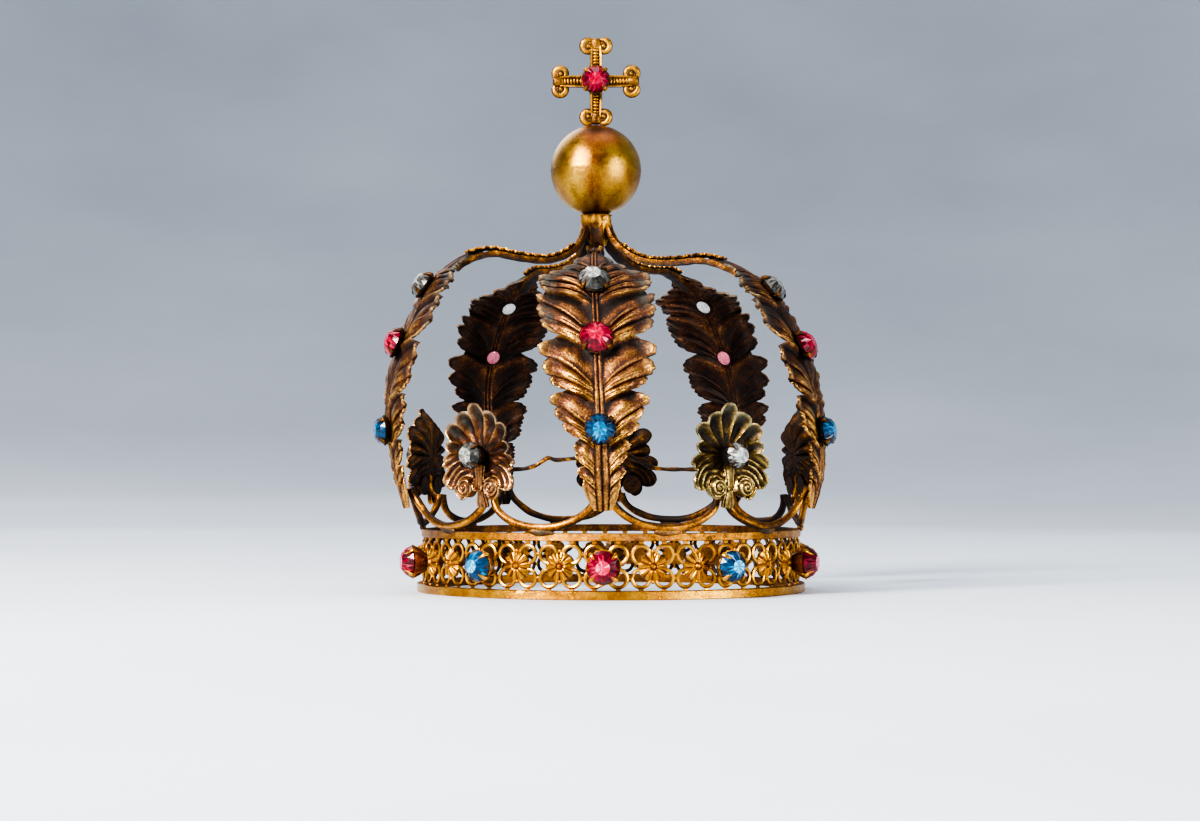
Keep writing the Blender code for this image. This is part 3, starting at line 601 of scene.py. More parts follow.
@dataclass
class Stone:
    """Round-cut paste stone and its claw setting.

    Attributes:
        seat: where it stands.
        radius: of the girdle.
        girdle: its rise over the seat's foot.
        colour: red, blue or clear.
        crown, pavilion: height over and depth under the girdle, as shares of the radius.
        table, table_shade: radius of the table as a share, and its painted brightness, a painted
            reflection.
        facet_turn: angle of the first facet.
        claw_half: half width of a claw.
        foil_radius: of the foiled back.
    """

    seat: Seat
    radius: float
    girdle: float
    colour: str
    crown: float = 0.56
    pavilion: float = 0.5
    table: float = 0.46
    table_shade: float = 0.56
    facet_turn: float = math.radians(11.25)
    claw_half: float = 0.5
    foil_radius: float = 1.95

    def facets(self, seed: int) -> list[Patch]:
        """Facets of the stone, each a flat patch with its own brightness.

        Rings of 16 points stand at the table, half way down the crown, at the girdle and below it.
        Each sixteenth gives seven patches: two kites, the facet beside the table, the table's
        share, the girdle's upper facet, the pavilion and the girdle. Each facet's brightness is painted
        light, a random draw standing in for reflections inside the stone. The kites are painted lighter
        on one random side, as if lit from there, and the table and the pavilion are painted light.

        Args:
            seed: of the random draw.

        Returns:
            Patches of two by two points.
        """
        step = math.tau / 16
        k = np.arange(17)
        turn = self.facet_turn + step * k
        top_rise = self.girdle + self.radius * self.crown
        even = 1.0 - 0.035 * (k % 2)
        table = self.seat.at(turn, self.radius * self.table * even, top_rise)
        half_way = self.girdle + self.radius * self.crown * 0.55
        waist = self.seat.at(turn + step / 2, self.radius * 0.78, half_way)
        edge = self.seat.at(turn, self.radius * 0.985, self.girdle)
        low = self.seat.at(turn, self.radius * 0.96, self.girdle - 0.3)
        top = self.seat.at(0.0, 0.0, top_rise)
        culet = self.seat.at(0.0, 0.0, self.girdle - self.radius * self.pavilion)
        rng = np.random.default_rng(seed)
        draw = rng.uniform(0.0, 1.0, (5, 17))
        side = rng.uniform(0.0, math.tau)
        lit = 0.5 + 0.5 * np.cos(turn - side)
        corners, shades = [], []
        for n in range(16):
            before = waist[(n - 1) % 16]
            if n % 2:
                kites = [(table[n], edge[n], waist[n]), (table[n], before, edge[n])]
            else:
                kites = [(before, edge[n], waist[n]), (table[n], before, waist[n])]
            for a, b, c in kites + [(table[n], waist[n], table[n + 1]), (top, table[n], table[n + 1]),
                                    (waist[n], edge[n], edge[n + 1]), (low[n], culet, low[n + 1])]:
                corners.append((a, b, c, a))
            corners.append((edge[n], low[n], low[n + 1], edge[n + 1]))
            # Painted light: glow is stronger on the lit side, and lid is the table's painted reflection.
            glow = 0.02 + 0.34 * lit[n]
            bend = glow + 0.5 * draw[1, n] ** 2
            main = glow * 0.8 + 0.5 * draw[2, n] ** 2
            second = glow * 0.6 + 0.3 * draw[2, n - 1]
            lid = self.table_shade + 0.2 * (draw[0, n] > 0.65)
            rim, below = 0.05 + 0.4 * draw[3, n] ** 2, 0.7 + 0.2 * draw[4, n]
            shades += [main, second, bend, lid, rim, below, 0.1]
        return [Patch(np.array([[a, b], [d, c]]), shade=s) for (a, b, c, d), s in zip(corners, shades)]

    def build(self, name: str, node: str, seed: int) -> None:
        """Make the stone in place of its node."""
        finish, slot = STONE_FINISH[self.colour]
        make_stone(name, self.facets(seed), finish.material(), (node,))

    def back(self, name: str, node: str) -> None:
        """Foiled back of the stone, a low dome that shows behind the leaf: rise falls with the square."""
        q = np.linspace(0.0, 1.0, 9)[:, None]
        turn = np.linspace(0.0, math.tau, 25)[None, :]
        dome = self.seat.at(turn, self.foil_radius * q, -0.75 + 0.5 * q ** 2)
        lid = self.seat.at(turn, self.foil_radius * q[::-1], 0.05 + 0.0 * q)
        foil = Patch(np.concatenate([dome, lid]), shade=0.74)
        make_piece(name, [foil], FOILS[self.colour].material(), (node,))

    def claws(self, foot_radius: float, cup_shade: float = -0.5) -> list[Patch]:
        """Tapered cup under the stone and four claws over its crown.

        The cup is turned from rows of radius and rise. A claw is a flat bar swept from the cup's
        foot, past the girdle and in over the crown, drawn to a point.

        Args:
            foot_radius: of the cup's foot.
            cup_shade: painted shade of the cup and the claws, lower for darker.

        Returns:
            The cup and the claws.
        """
        r, g = self.radius, self.girdle
        turn = np.linspace(0.0, math.tau, 33)
        rows = np.array([(0.0, -0.1), (foot_radius, -0.1), (foot_radius * 1.05, 0.15), (r * 0.8, g * 0.45),
                         (r * 0.98, g - 0.75), (r * 1.03, g - 0.35), (r * 0.97, g - 0.3),
                         (r * 0.9, g - 0.7), (0.0, g - 0.7 - r * 0.45)])
        wave = 1.0 + 0.035 * np.cos(16 * turn)[None, :] * (rows[:, :1] > r * 0.75)
        cup = self.seat.at(turn[None, :], rows[:, :1] * wave, rows[:, 1:])
        # Painted shade: the cup is darker towards its foot, under the stone.
        depth = np.interp(rows[:, 1:], [0.0, g], [cup_shade - 0.3, cup_shade + 0.35])
        patches = [Patch(cup, np.broadcast_to(depth, cup.shape[:2]))]
        path_rows = np.array([(foot_radius * 0.9, 0.0), (r * 0.82, g * 0.5), (r * 1.02, g - 0.55),
                              (r * 1.08, g + 0.1), (r * 1.0, g + 0.62), (r * 0.86, g + 1.0),
                              (r * 0.7, g + r * self.crown * 0.72 + 0.25)])
        share = np.linspace(0.0, len(path_rows) - 1.0, 22)
        knots = np.arange(len(path_rows))
        reach, rise = (np.interp(share, knots, path_rows[:, c]) for c in (0, 1))
        width = np.interp(share, knots, [0.6, 0.65, 0.8, 0.8, 0.78, 0.6, 0.08])
        section = box_section(0.26, self.claw_half, 0.1)
        for quarter in range(4):
            angle = math.radians(45.0 + 90.0 * quarter)
            path = self.seat.at(angle, reach, rise)
            grid = sweep(path, section, self.seat.look, width / 0.8)
            # Painted light along each claw: darker at the foot, a painted highlight where it bends over the
            # girdle.
            light = np.interp(share, knots, [-0.6, -0.4, 0.0, 0.35, 0.3, 0.0, 0.2])
            light = np.concatenate([light[:1], light, light[-1:]])
            patches.append(Patch(grid, np.broadcast_to(light[:, None] + cup_shade + 0.35, grid.shape[:2])))
        return patches


def make_stone(name: str, facets: list[Patch], material: bpy.types.Material,
               replaces: tuple[str, ...]) -> bpy.types.Object:
    """Make a faceted stone that rides on the crown, with one brightness for each face.

    Args:
        name: of the piece.
        facets: its faces, as patches of two by two points.
        material: its finish.
        replaces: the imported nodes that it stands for.

    Returns:
        The new object.
    """
    points = np.concatenate([p.points.reshape(-1, 3) for p in facets])
    mesh = bpy.data.meshes.new(name)
    order = np.array([0, 1, 3, 2])
    faces = [tuple(int(i) for i in order + 4 * k) for k in range(len(facets))]
    mesh.from_pydata(place(points).tolist(), [], faces)
    bm = bmesh.new()
    bm.from_mesh(mesh)
    layer = bm.faces.layers.float.new("shade")
    for face, patch in zip(bm.faces, facets):
        face[layer] = float(patch.shade)
    bmesh.ops.remove_doubles(bm, verts=bm.verts, dist=MERGE)
    bmesh.ops.recalc_face_normals(bm, faces=bm.faces)
    bm.to_mesh(mesh)
    bm.free()
    mesh.shade_flat()
    return join_crown(mesh, material, replaces)


# --- band ---


@dataclass
class Band:
    """Two rim strips, a gallery of 27 quatrefoils with rosettes, and ten stones in claw settings.

    Attributes:
        height: of the band, with the rims.
        rim, lower_rim: heights of the upper and the lower strip.
        lower_radius, upper_radius, inner_radius: of the strips' outer and inner faces.
        gallery_radius: of the gallery's middle surface.
        units, first: number of quatrefoils, and azimuth of the first.
        offset: of a ring's middle from the quatrefoil's, across and up.
        ring_mean, ring_thick: radius of a ring's middle line, and of its wire.
        rosette_radius: of a flower.
        stone_radius, red_radius, stone_height, girdle: sizes and height of the stones.
        granule, granule_offset: radius of a granule and its distance from the middle.
    """

    height: float = 16.0
    rim: float = 1.95
    lower_rim: float = 2.2
    lower_radius: float = 50.0
    upper_radius: float = 48.9
    gallery_radius: float = 48.2
    inner_radius: float = 47.6
    units: int = 27
    first: float = 0.65
    offset: float = 2.85
    ring_mean: float = 2.16
    ring_thick: float = 0.5
    rosette_radius: float = 3.5
    stone_radius: float = 3.9
    red_radius: float = 4.15
    stone_height: float = 7.9
    girdle: float = 4.2
    granule: float = 0.5
    granule_offset: float = 3.7

    @property
    def middle(self) -> float:
        """Height of the gallery's middle."""
        return self.height / 2.0

    def unit_at(self, k: int) -> float:
        """Place of a unit round the band: its azimuth turned into millimetres along the gallery."""
        return (self.first + 360.0 / self.units * k) * math.radians(1.0) * self.gallery_radius

    def build(self) -> None:
        """Make the rims, the gallery, the rosettes, the settings and the stones."""
        lower, upper = self.rims()
        make_piece("band_rim_lower", [lower], RIM.material(), ("band",), 40.0)
        make_piece("band_rim_upper", [upper], BRONZE.material(), ("band",), 40.0)
        make_piece("band_gallery", self.gallery(), GILT.material(), ("band",))
        make_piece("band_rosettes", self.rosettes(), ROSETTE.material(), ("band",))
        settings = []
        for k in range(10):
            azimuth = 36.0 * k
            foot = around(self.gallery_radius + 0.3, azimuth, self.stone_height)
            seat = Seat(foot, around(1.0, azimuth, 0.0), UP)
            colour, radius = ("blue", self.stone_radius) if k % 2 else ("red", self.red_radius)
            # Paler tables on the band's stones: a painted reflection.
            stone = Stone(seat, radius, self.girdle, colour, crown=0.62, table=0.42, table_shade=0.72)
            settings += stone.claws(self.stone_radius * 0.5, -0.15)
            stone.build(f"paste_band_{36 * k:03d}", f"stone_band_{36 * k:03d}", 100 + k)
        make_piece("band_settings", settings, GILT.material(), ("band",))

    def bent(self, across: Array, up: Array, out: Array) -> Array:
        """Points of the flat gallery, across and up, bent round the band."""
        return around(self.gallery_radius + out, np.degrees(across / self.gallery_radius), up)

    def rims(self) -> list[Patch]:
        """Lower and upper strip: a profile with worn corners, turned about the axis."""
        patches = []
        azimuth = np.linspace(0.0, 360.0, 325)
        strips = ((self.lower_radius, 0.0, self.lower_rim),
                  (self.upper_radius, self.height - self.rim, self.rim))
        for seed, (b, low, h) in enumerate(strips):
            a = self.inner_radius
            rows = np.array([(a, 0.0), (b - 0.2, 0.0), (b, 0.18), (b, h * 0.5), (b, h - 0.18), (b - 0.2, h),
                             (a + 0.25, h), (a, h - 0.2), (a, 0.2), (a, 0.0)])
            dent = smooth_noise((len(rows), len(azimuth)), (3, 60), seed)
            dent[:, -1], dent[-1] = dent[:, 0], dent[0]
            dent[-1, -1] = dent[0, 0]
            radius = rows[:, :1] + 0.07 * dent
            grid = around(radius, azimuth[None, :], low + rows[:, 1:] + 0.03 * dent * (low > 0))
            wear_and_shade = np.where(rows[:, :1] > b - 0.1, 0.35, -0.3)
            patches.append(Patch(grid, np.broadcast_to(wear_and_shade, grid.shape[:2]) + 0.15 * dent))
        return patches

    def gallery(self) -> list[Patch]:
        """Rings, tabs, granules and links of every unit."""
        patches = []
        for k in range(self.units):
            centre = self.unit_at(k)
            for quadrant in range(4):
                patches.append(self.ring(centre, math.pi / 4 + math.pi / 2 * quadrant))
            for side in (-1.0, 1.0):
                patches += [self.tab(centre + side * self.offset, end) for end in (-1.0, 1.0)]
            for end in (-1.0, 1.0):
                patches += [self.grain(centre, end), self.link(centre, end)]
        return patches

    def ring(self, centre: float, diagonal: float) -> Patch:
        """Three quarters of a wire ring, one lobe of a quatrefoil.

        A point is the lobe's middle, plus the mean radius at an angle, plus the wire's round section
        across and out of the band.
        """
        section = np.linspace(0.0, math.tau, 9)
        angle = (diagonal + np.linspace(-2.35, 2.35, 25))[:, None]
        reach = (self.ring_mean + self.ring_thick * np.cos(section))[None, :]
        across = centre + np.sign(math.cos(diagonal)) * self.offset + reach * np.cos(angle)
        up = self.middle + np.sign(math.sin(diagonal)) * self.offset + reach * np.sin(angle)
        out = self.ring_thick * np.sin(section)[None, :] + 0.0 * across
        # Outer half of the wire lighter and inner half darker: rubbed wear together with painted highlight
        # and painted shade.
        return Patch(self.bent(across, up, out), 0.7 * np.sin(section) - 0.2)

    def bar(self, path: Array, half: tuple[float, float, float], scale: Array, wear_and_shade: float) -> Patch:
        """Flat bar swept along a path of across, out and up, and bent round the band."""
        grid = sweep(path, box_section(*half), FRONT, scale)
        return Patch(self.bent(grid[..., 0], grid[..., 2], -grid[..., 1]), wear_and_shade)

    def tab(self, across: float, end: float) -> Patch:
        """Tab that flares from a ring to the rim; end is 1 for the upper rim and -1 for the lower."""
        foot = self.middle + end * (self.offset + self.ring_mean)
        head = self.middle + end * (self.middle - self.rim + 0.3)
        rows = np.linspace(foot, head, 5)
        path = np.stack([0.0 * rows + across, 0.0 * rows, rows], axis=1)
        return self.bar(path, (0.36, 0.9, 0.15), np.array([0.7, 0.6, 0.65, 0.8, 1.0]), 0.15)

    def link(self, centre: float, end: float) -> Patch:
        """Waisted link from a ring to the next unit."""
        rows = centre + self.offset + self.ring_mean + np.linspace(-0.1, 1.5, 5)
        path = np.stack([rows, 0.0 * rows, 0.0 * rows + self.middle + end * self.offset], axis=1)
        return self.bar(path, (0.34, 0.42, 0.12), np.array([1.3, 1.0, 0.95, 1.0, 1.3]), 0.1)

    def grain(self, centre: float, end: float) -> Patch:
        """Granule between two rings, under or over the unit's middle."""
        at = np.array([centre, self.middle + end * self.granule_offset, self.granule / 2])
        ball = lump(at, np.eye(3), (self.granule,) * 3, (7, 11))
        return Patch(self.bent(*np.moveaxis(ball, -1, 0)), 0.3)

    def rosettes(self) -> list[Patch]:
        """Domed flower on each unit, also behind the stones.

        The rim's radius is a mean plus a rounded wave for eight or ten petals. Each petal is a ridge
        with a groove along its middle, and a bead stands in a round hollow. The back is flat.
        """
        patches = []
        turn = np.linspace(0.0, math.tau, 81)[None, :]
        share = np.array([0.0, 0.1, 0.17, 0.22, 0.3, 0.42, 0.56, 0.7, 0.82, 0.92, 0.98, 1.0])[:, None]
        hollow = bell(share, 0.22, 0.05)
        bead = clamp(1.0 - (share / 0.17) ** 2) ** 0.5
        for k in range(self.units):
            petals = 8 if k % 3 == 0 else 10
            angle = petals * (turn + 0.7 * k)
            rim = self.rosette_radius * (0.93 + 0.09 * np.abs(np.cos(angle / 2)) ** 0.6)
            ridge = 0.15 * np.cos(angle) + 0.10 * np.cos(3 * angle)
            dome = 1.15 - 0.75 * share ** 2.2 + 0.4 * bead - 0.28 * hollow
            rise = dome + ridge * clamp(share * 2.4 - 0.4)
            rise = np.where(share > 0.99, rise - 0.35, rise)
            across = self.unit_at(k) + rim * share * np.cos(turn)
            up = self.middle + rim * share * np.sin(turn)
            back = self.bent(across, up, -0.35 + 0.0 * rise)
            # Painted highlights on the petals' ridges, painted shade in their grooves and in the hollow
            # round the bead; the flat back is darker.
            shine = np.clip(ridge * 2.4, -0.7, 0.5) * clamp(share * 2) + 0.15 - 0.5 * hollow
            rows = np.concatenate([self.bent(across, up, rise), back[::-1]])
            patches.append(Patch(rows, np.concatenate([shine, -0.4 + 0.0 * shine])))
        return patches


# --- arches ---


ARCH_AZIMUTHS = {"front": 0.0, "right": 72.0, "back_right": 144.0, "back_left": -144.0, "left": -72.0}
ARCH_BENDS = {
    "front": {"bulge": 0.0, "crest": -1.8}, "right": {"bulge": -1.0, "crest": -2.0},
    "back_right": {"bulge": 0.8, "crest": -2.5}, "back_left": {"bulge": 4.0, "crest": -2.5},
    "left": {"bulge": 1.0, "crest": 0.3},
}
ARCH_PROFILE = [
    (53.9, 21.5), (55.3, 26.5), (56.2, 31.5), (56.6, 38.0), (56.4, 44.0), (55.8, 50.0),
    (54.5, 56.0), (52.4, 62.0), (49.6, 68.5), (46.2, 75.0), (42.6, 80.0), (38.6, 83.8),
    (34.0, 86.2), (28.5, 87.3), (22.0, 86.3), (15.0, 85.8), (10.5, 86.8), (7.2, 88.8),
    (5.2, 91.0), (4.2, 93.0), (3.65, 95.2),
]
BULGE_SPAN, CREST_SPAN = (22.0, 88.0), (40.0, 102.0)


def hump(value: Array, span: tuple[float, float]) -> Array:
    """Smooth swell over a span: the squared sine of pi times the share of the span."""
    return np.sin(np.pi * np.clip((value - span[0]) / (span[1] - span[0]), 0.0, 1.0)) ** 2


@dataclass
class ArchCurve:
    """One hand-bent arch: a Catmull-Rom curve through its profile, read by the mean length along it."""

    azimuth: float
    bulge: float
    crest: float

    def __post_init__(self) -> None:
        """Bend the mean profile and sample the curve."""
        mean = np.array(ARCH_PROFILE)
        mean_at = self.chords(mean)
        bent = mean + np.stack([hump(mean[:, 1], BULGE_SPAN) * self.bulge,
                                hump(mean_at, CREST_SPAN) * self.crest], axis=1)
        at = self.chords(bent)
        self.stretch = at[-1] / mean_at[-1]
        padded = np.concatenate([[2 * bent[0] - bent[1]], bent, [2 * bent[-1] - bent[-2]]])
        step = np.linspace(0.0, len(bent) - 1.000001, 1200)
        i = step.astype(int)
        t = (step - i)[:, None]
        a, b, c, d = padded[i], padded[i + 1], padded[i + 2], padded[i + 3]
        square, cube = 2 * a - 5 * b + 4 * c - d, 3 * b - a - 3 * c + d
        self.samples = 0.5 * (2 * b + (c - a) * t + square * t ** 2 + cube * t ** 3)
        self.lengths = at[i] + t[:, 0] * (at[i + 1] - at[i])
        way = unit(np.gradient(self.samples, axis=0))
        self.normals = np.stack([way[:, 1], -way[:, 0]], axis=1)

    @staticmethod
    def chords(points: Array) -> Array:
        """Length along a chain of points at each of them."""
        return np.concatenate([[0.0], np.cumsum(np.linalg.norm(np.diff(points, axis=0), axis=1))])

    def read(self, table: Array, length: Array) -> Array:
        """Values of a two-column table at mean lengths along the arch."""
        here = np.asarray(length) * self.stretch
        return np.stack([np.interp(here, self.lengths, table[:, c]) for c in (0, 1)], axis=-1)

    def at(self, length: Array, side: Array, rise: Array) -> Array:
        """Points at mean lengths along the arch, beside its middle and above its face."""
        length, side, rise = np.broadcast_arrays(length, side, rise)
        flat = self.read(self.samples, length) + self.read(self.normals, length) * rise[..., None]
        return around(flat[..., 0], self.azimuth, flat[..., 1]) + side[..., None] * beside(self.azimuth)

    def seat(self, length: float) -> Seat:
        """Seat of a stone at a mean length along the arch."""
        normal = self.read(self.normals, length)
        look = around(normal[0], self.azimuth, normal[1])
        return Seat(self.at(length, 0.0, 0.0), look, np.cross(look, beside(self.azimuth)))


@dataclass
class Arch:
    """Acanthus leaf, its serrated tail, the strip up to the neck, and three stones.

    Attributes:
        name, index: of the arch.
        thickness: of the leaf.
        fingers: from the foot up, (group, root along the midrib, tip along, tip beside).
        notches: between the fingers, (along, beside), one more than the fingers.
        steps: rows of the grid for each finger.
        tooth: length of a tooth of the tail.
        stones: (colour, length along, radius, girdle).
    """

    name: str
    index: int
    thickness: float = 0.55
    fingers: list[tuple[int, float, float, float]] = field(default_factory=lambda: [
        (0, 3.0, 5.8, 4.4), (1, 6.0, 9.4, 5.6), (2, 9.4, 13.2, 6.0), (2, 11.0, 16.0, 6.7),
        (3, 16.2, 19.9, 8.6), (3, 17.6, 23.5, 10.4), (3, 19.4, 27.9, 11.8),
        (4, 27.4, 31.0, 11.0), (4, 28.8, 35.2, 13.2), (4, 30.6, 40.8, 14.0),
        (5, 40.2, 46.4, 12.9), (5, 41.4, 51.2, 14.2), (5, 43.0, 55.0, 13.9),
        (6, 52.4, 57.6, 12.9), (6, 53.6, 59.4, 13.3), (6, 55.4, 61.8, 13.3),
        (6, 58.0, 63.0, 11.0), (6, 60.2, 65.0, 7.6), (6, 63.4, 67.8, 4.6),
    ])
    notches: list[tuple[float, float]] = field(default_factory=lambda: [
        (0.0, 2.2), (7.3, 3.2), (11.1, 3.7), (14.6, 5.6), (17.6, 5.0), (21.7, 8.6), (25.4, 10.2),
        (29.3, 7.4), (33.2, 11.2), (38.0, 11.8), (43.3, 8.8), (49.0, 12.8), (53.2, 13.1), (56.2, 11.8),
        (58.5, 12.6), (60.5, 12.5), (62.2, 9.8), (64.0, 6.8), (66.6, 4.0), (71.5, 1.7),
    ])
    steps: int = 12
    tooth: float = 2.35
    stones: tuple[tuple[str, float, float, float], ...] = (
        ("blue", 19.8, 3.7, 2.3), ("red", 41.8, 4.05, 2.5), ("clear", 57.9, 3.8, 2.3))

    def build(self) -> None:
        """Make the leaf, the strip, the settings and the stones."""
        node = f"arch_{self.name}"
        curve = ArchCurve(ARCH_AZIMUTHS[self.name], **ARCH_BENDS[self.name])
        make_piece(f"leaf_{self.name}", self.leaf(curve), LEAF.material(), (node,), 60.0)
        make_piece(f"strip_{self.name}", self.strip(curve), STRIP.material(), (node,), 40.0)
        settings = []
        for k, (colour, length, radius, girdle) in enumerate(self.stones):
            stone = Stone(curve.seat(length), radius, girdle, colour)
            packed = f"stone_arch_{self.name}_{colour}"
            settings += stone.claws(radius * 0.62, -0.55)
            stone.build(f"paste_{self.name}_{colour}", packed, 10 * self.index + k)
            stone.back(f"foil_{self.name}_{colour}", packed)
        make_piece(f"settings_{self.name}", settings, CLAW.material(), (node,))

    def midrib(self, length: Array) -> Array:
        """Half width of the double midrib along the leaf."""
        return np.interp(length, [0.0, 8.0, 16.0, 24.0, 35.0, 57.0, 80.0],
                         [1.4, 1.75, 1.6, 1.2, 1.1, 0.9, 0.6])

    def section(self, length: Array, side: Array) -> Array:
        """Rise of the leaf's plain form: raised along the middle and dropped at the edges."""
        rows = np.array(self.fingers)
        places, widths = np.array([0.0, *rows[:, 2], 80.0]), np.array([2.3, *rows[:, 3], 2.0])
        width = np.interp(length, places, widths)
        share = np.minimum(np.abs(side) / width, 1.15)
        return np.minimum(width / 12.0, 1.0) * (0.7 - 0.4 * share - 1.6 * share ** 2)

    def leaf(self, curve: ArchCurve) -> list[Patch]:
        """Leaf as a closed sheet: two halves joined at the midrib, with seeded unevenness."""
        left, right = (self.half(sign) for sign in (-1.0, 1.0))
        joined = [np.concatenate([a[:, :0:-1], b], axis=1) for a, b in zip(left, right)]
        length, side, rise, shine, moss = joined
        rise = rise + 0.16 * smooth_noise(rise.shape, (40, 11), 7 + self.index)
        shine = shine + 0.25 * smooth_noise(rise.shape, (24, 8), 27 + self.index)
        front = Patch(curve.at(length, side, rise), np.clip(shine, -1.0, 1.0), moss)
        return sheet(front, curve.at(length, side, rise - self.thickness))

    def half(self, sign: float) -> list[Array]:
        """Half of the leaf as a grid whose rows run along the veins.

        Row v belongs to finger k, the whole part of v, and f is the share of the finger. A row
        starts on the midrib, where a group's fingers lie close together, and follows a quadratic
        curve, up the leaf and then outwards, to an end point that moves from the notch below the
        finger to its tip and on to the notch above, with small teeth. The rise adds a creased ridge
        and two fine vein lines along each finger, a bulge over each group, a lip at its lower edge
        that stands over the group below, a wedge-shaped hollow beside the midrib, and a dimple
        before the rolled tip.

        Args:
            sign: -1 for the left half and 1 for the right.

        Returns:
            Length, side, rise, shine and verdigris, from the midrib outwards.
        """
        count = len(self.fingers)
        v = np.linspace(0.0, count, count * self.steps + 1)
        k = np.minimum(v.astype(int), count - 1)
        f = (v - k)[:, None]
        rng = np.random.default_rng(40 + self.index * 2 + int(sign > 0))
        chance = rng.uniform(-0.35, 0.35, (count, 3)) * (0.3, 1.0, 0.8)
        table = np.array([row[1:] for row in self.fingers]) + chance
        group = np.array([row[0] for row in self.fingers])
        starts = group != np.concatenate([[-1], group[:-1]])
        ends = np.append(starts[1:], True)
        strength = rng.uniform(0.75, 1.2, count)[k][:, None]
        off = np.abs(2 * f - 1)

        middle = (table[:-1, 0] + table[1:, 0]) / 2
        edge = np.concatenate([[0.0], np.where(starts[1:], table[1:, 0] - 0.9, middle), [76.0]])
        own, low, high = (row[:, None] for row in (table[k, 0], edge[k], edge[k + 1]))
        root = np.where(f < 0.5, low + (own - low) * f * 2, own + (high - own) * (f * 2 - 1))[:, 0]
        m = self.midrib(root)
        u = (1.0 - (1.0 - np.linspace(0.0, 1.0, 25)) ** 1.15)[None, 1:]
        length, side = self.veins(root, m, self.tips(table, k, f), u)

        order = np.arange(count) - np.maximum.accumulate(np.where(starts, np.arange(count), 0))
        w = clamp((order[k][:, None] + f) / np.bincount(group)[group][k][:, None])
        size = np.clip(table[k, 2] / 12.0, 0.35, 1.0)[:, None]
        first, last = (flag[k].astype(float)[:, None] for flag in (starts, ends))
        swell = clamp(u * 1.6) ** 0.8 * (1.0 - 0.3 * u ** 2)
        crease = bell(f, 0.5, 0.06) * clamp(2.4 - 3 * u)
        line = bell(np.abs(f - 0.5), 0.13, 0.045) * clamp(2.2 - 2.4 * u)
        dimple = bell(u, 0.8, 0.12) * (1.0 - off ** 2)
        rolled = bell(u, 0.97, 0.05)
        ridge = 1.0 - 2.0 * off ** 2.2
        ridge = ridge + first * clamp(0.5 - f) * 2 * (0.4 - np.minimum(ridge, 0.4))
        bulge = np.sin(np.pi * w ** 0.8) * (4 * u * (1 - u)) ** 0.8
        lip = first * bell(f, 0.0, 0.3) * clamp(u * 2.5)
        under = last * bell(f, 1.0, 0.3)
        wedge = last * clamp(f * 2 - 1) * bell(u, 0.0, 0.35)
        curl = clamp(ridge) * u ** 6

        rise = 0.54 * strength * ridge * swell - (0.28 * crease - 0.12 * line) * swell + 0.55 * bulge
        rise = rise + 0.75 * lip - 0.55 * under * clamp(u * 3) - 0.3 * wedge + 0.4 * rolled - 0.6 * dimple
        rise = size * (rise + (0.2 + 0.6 * w) * curl) - 0.25 * u ** 10 + self.section(length, side)
        # Shine: painted highlights on ridges, vein lines, bulges, lips and rolled tips; painted shade in
        # creases, under each lip, in the wedge, in the dimples and along the midrib. It is also lighter low
        # on the leaf and darker towards the top.
        shine = 0.45 * strength * ridge * u ** 0.3 - 0.08 - 0.7 * crease + 0.55 * line + 0.25 * bulge
        shine = shine + 0.7 * lip - 0.5 * under - 0.3 * wedge + 0.45 * rolled - 0.6 * dimple
        shine = shine - 0.3 * bell(u, 0.0, 0.06) + 0.12 * clamp((24.0 - length) / 10.0)
        shine = shine - 0.4 * clamp((length - 30.0) / 22.0) - 0.25 * clamp((length - 58.0) / 8.0)
        moss = clamp(u * 3.0 - 2.2) * (0.15 + 0.85 * clamp((length - 34.0) / 24.0))
        rib = self.rib(root, m)
        outer = (length, side, rise, shine, moss)
        parts = [np.concatenate(pair, axis=1) for pair in zip(rib, outer)]
        parts[1] = sign * parts[1]
        return parts

    def tips(self, table: Array, k: Array, f: Array) -> Array:
        """Ends of the rows: from notch to tip to notch, eased by a power, with three teeth a finger.

        Args:
            table: the fingers' root, and their tips along and beside.
            k: finger of each row.
            f: share of the finger at each row.

        Returns:
            Length and side of each row's end.
        """
        notch = np.array(self.notches)
        off = np.abs(2 * f - 1)
        outward = table[k, 1:] - (notch[k] + notch[k + 1]) / 2
        teeth = 0.6 * (np.abs(np.cos(3 * np.pi * (f - 0.5))) - 0.5) * (1.0 - off ** 2)
        chord = notch[k] + (notch[k + 1] - notch[k]) * f
        return chord + outward * (1.0 - off ** 2.6) + teeth * unit(outward)

    @staticmethod
    def veins(root: Array, half_rib: Array, end: Array, share: Array) -> tuple[Array, Array]:
        """Length and side along quadratic curves from the midrib to the ends of the rows."""
        start = np.stack([root, half_rib], axis=1)[:, None]
        bend = start + np.array([0.56, 0.34]) * (end[:, None] - start)
        t = share[..., None]
        rows = (1 - t) ** 2 * start + 2 * t * (1 - t) * bend + t ** 2 * end[:, None]
        return rows[..., 0], rows[..., 1]

    def rib(self, root: Array, half_rib: Array) -> tuple[Array, ...]:
        """Half of the double midrib: length, side, rise, shine and verdigris of a rounded ridge."""
        q = np.linspace(0.0, 1.0, 6)[None, :]
        side = q * half_rib[:, None]
        length = np.broadcast_to(root[:, None], side.shape)
        round_top = 0.55 * np.sin(np.pi * q) ** 0.8 * np.minimum(half_rib / 1.5, 1.0)[:, None] - 0.1
        # Painted highlight along the rib's crest and painted shade on its flanks, darker up the leaf.
        shine = 1.1 * np.sin(np.pi * q) - 0.7 - 0.35 * clamp((length - 20.0) / 20.0)
        return length, side, self.section(length, side) + round_top, shine, 0.0 * side

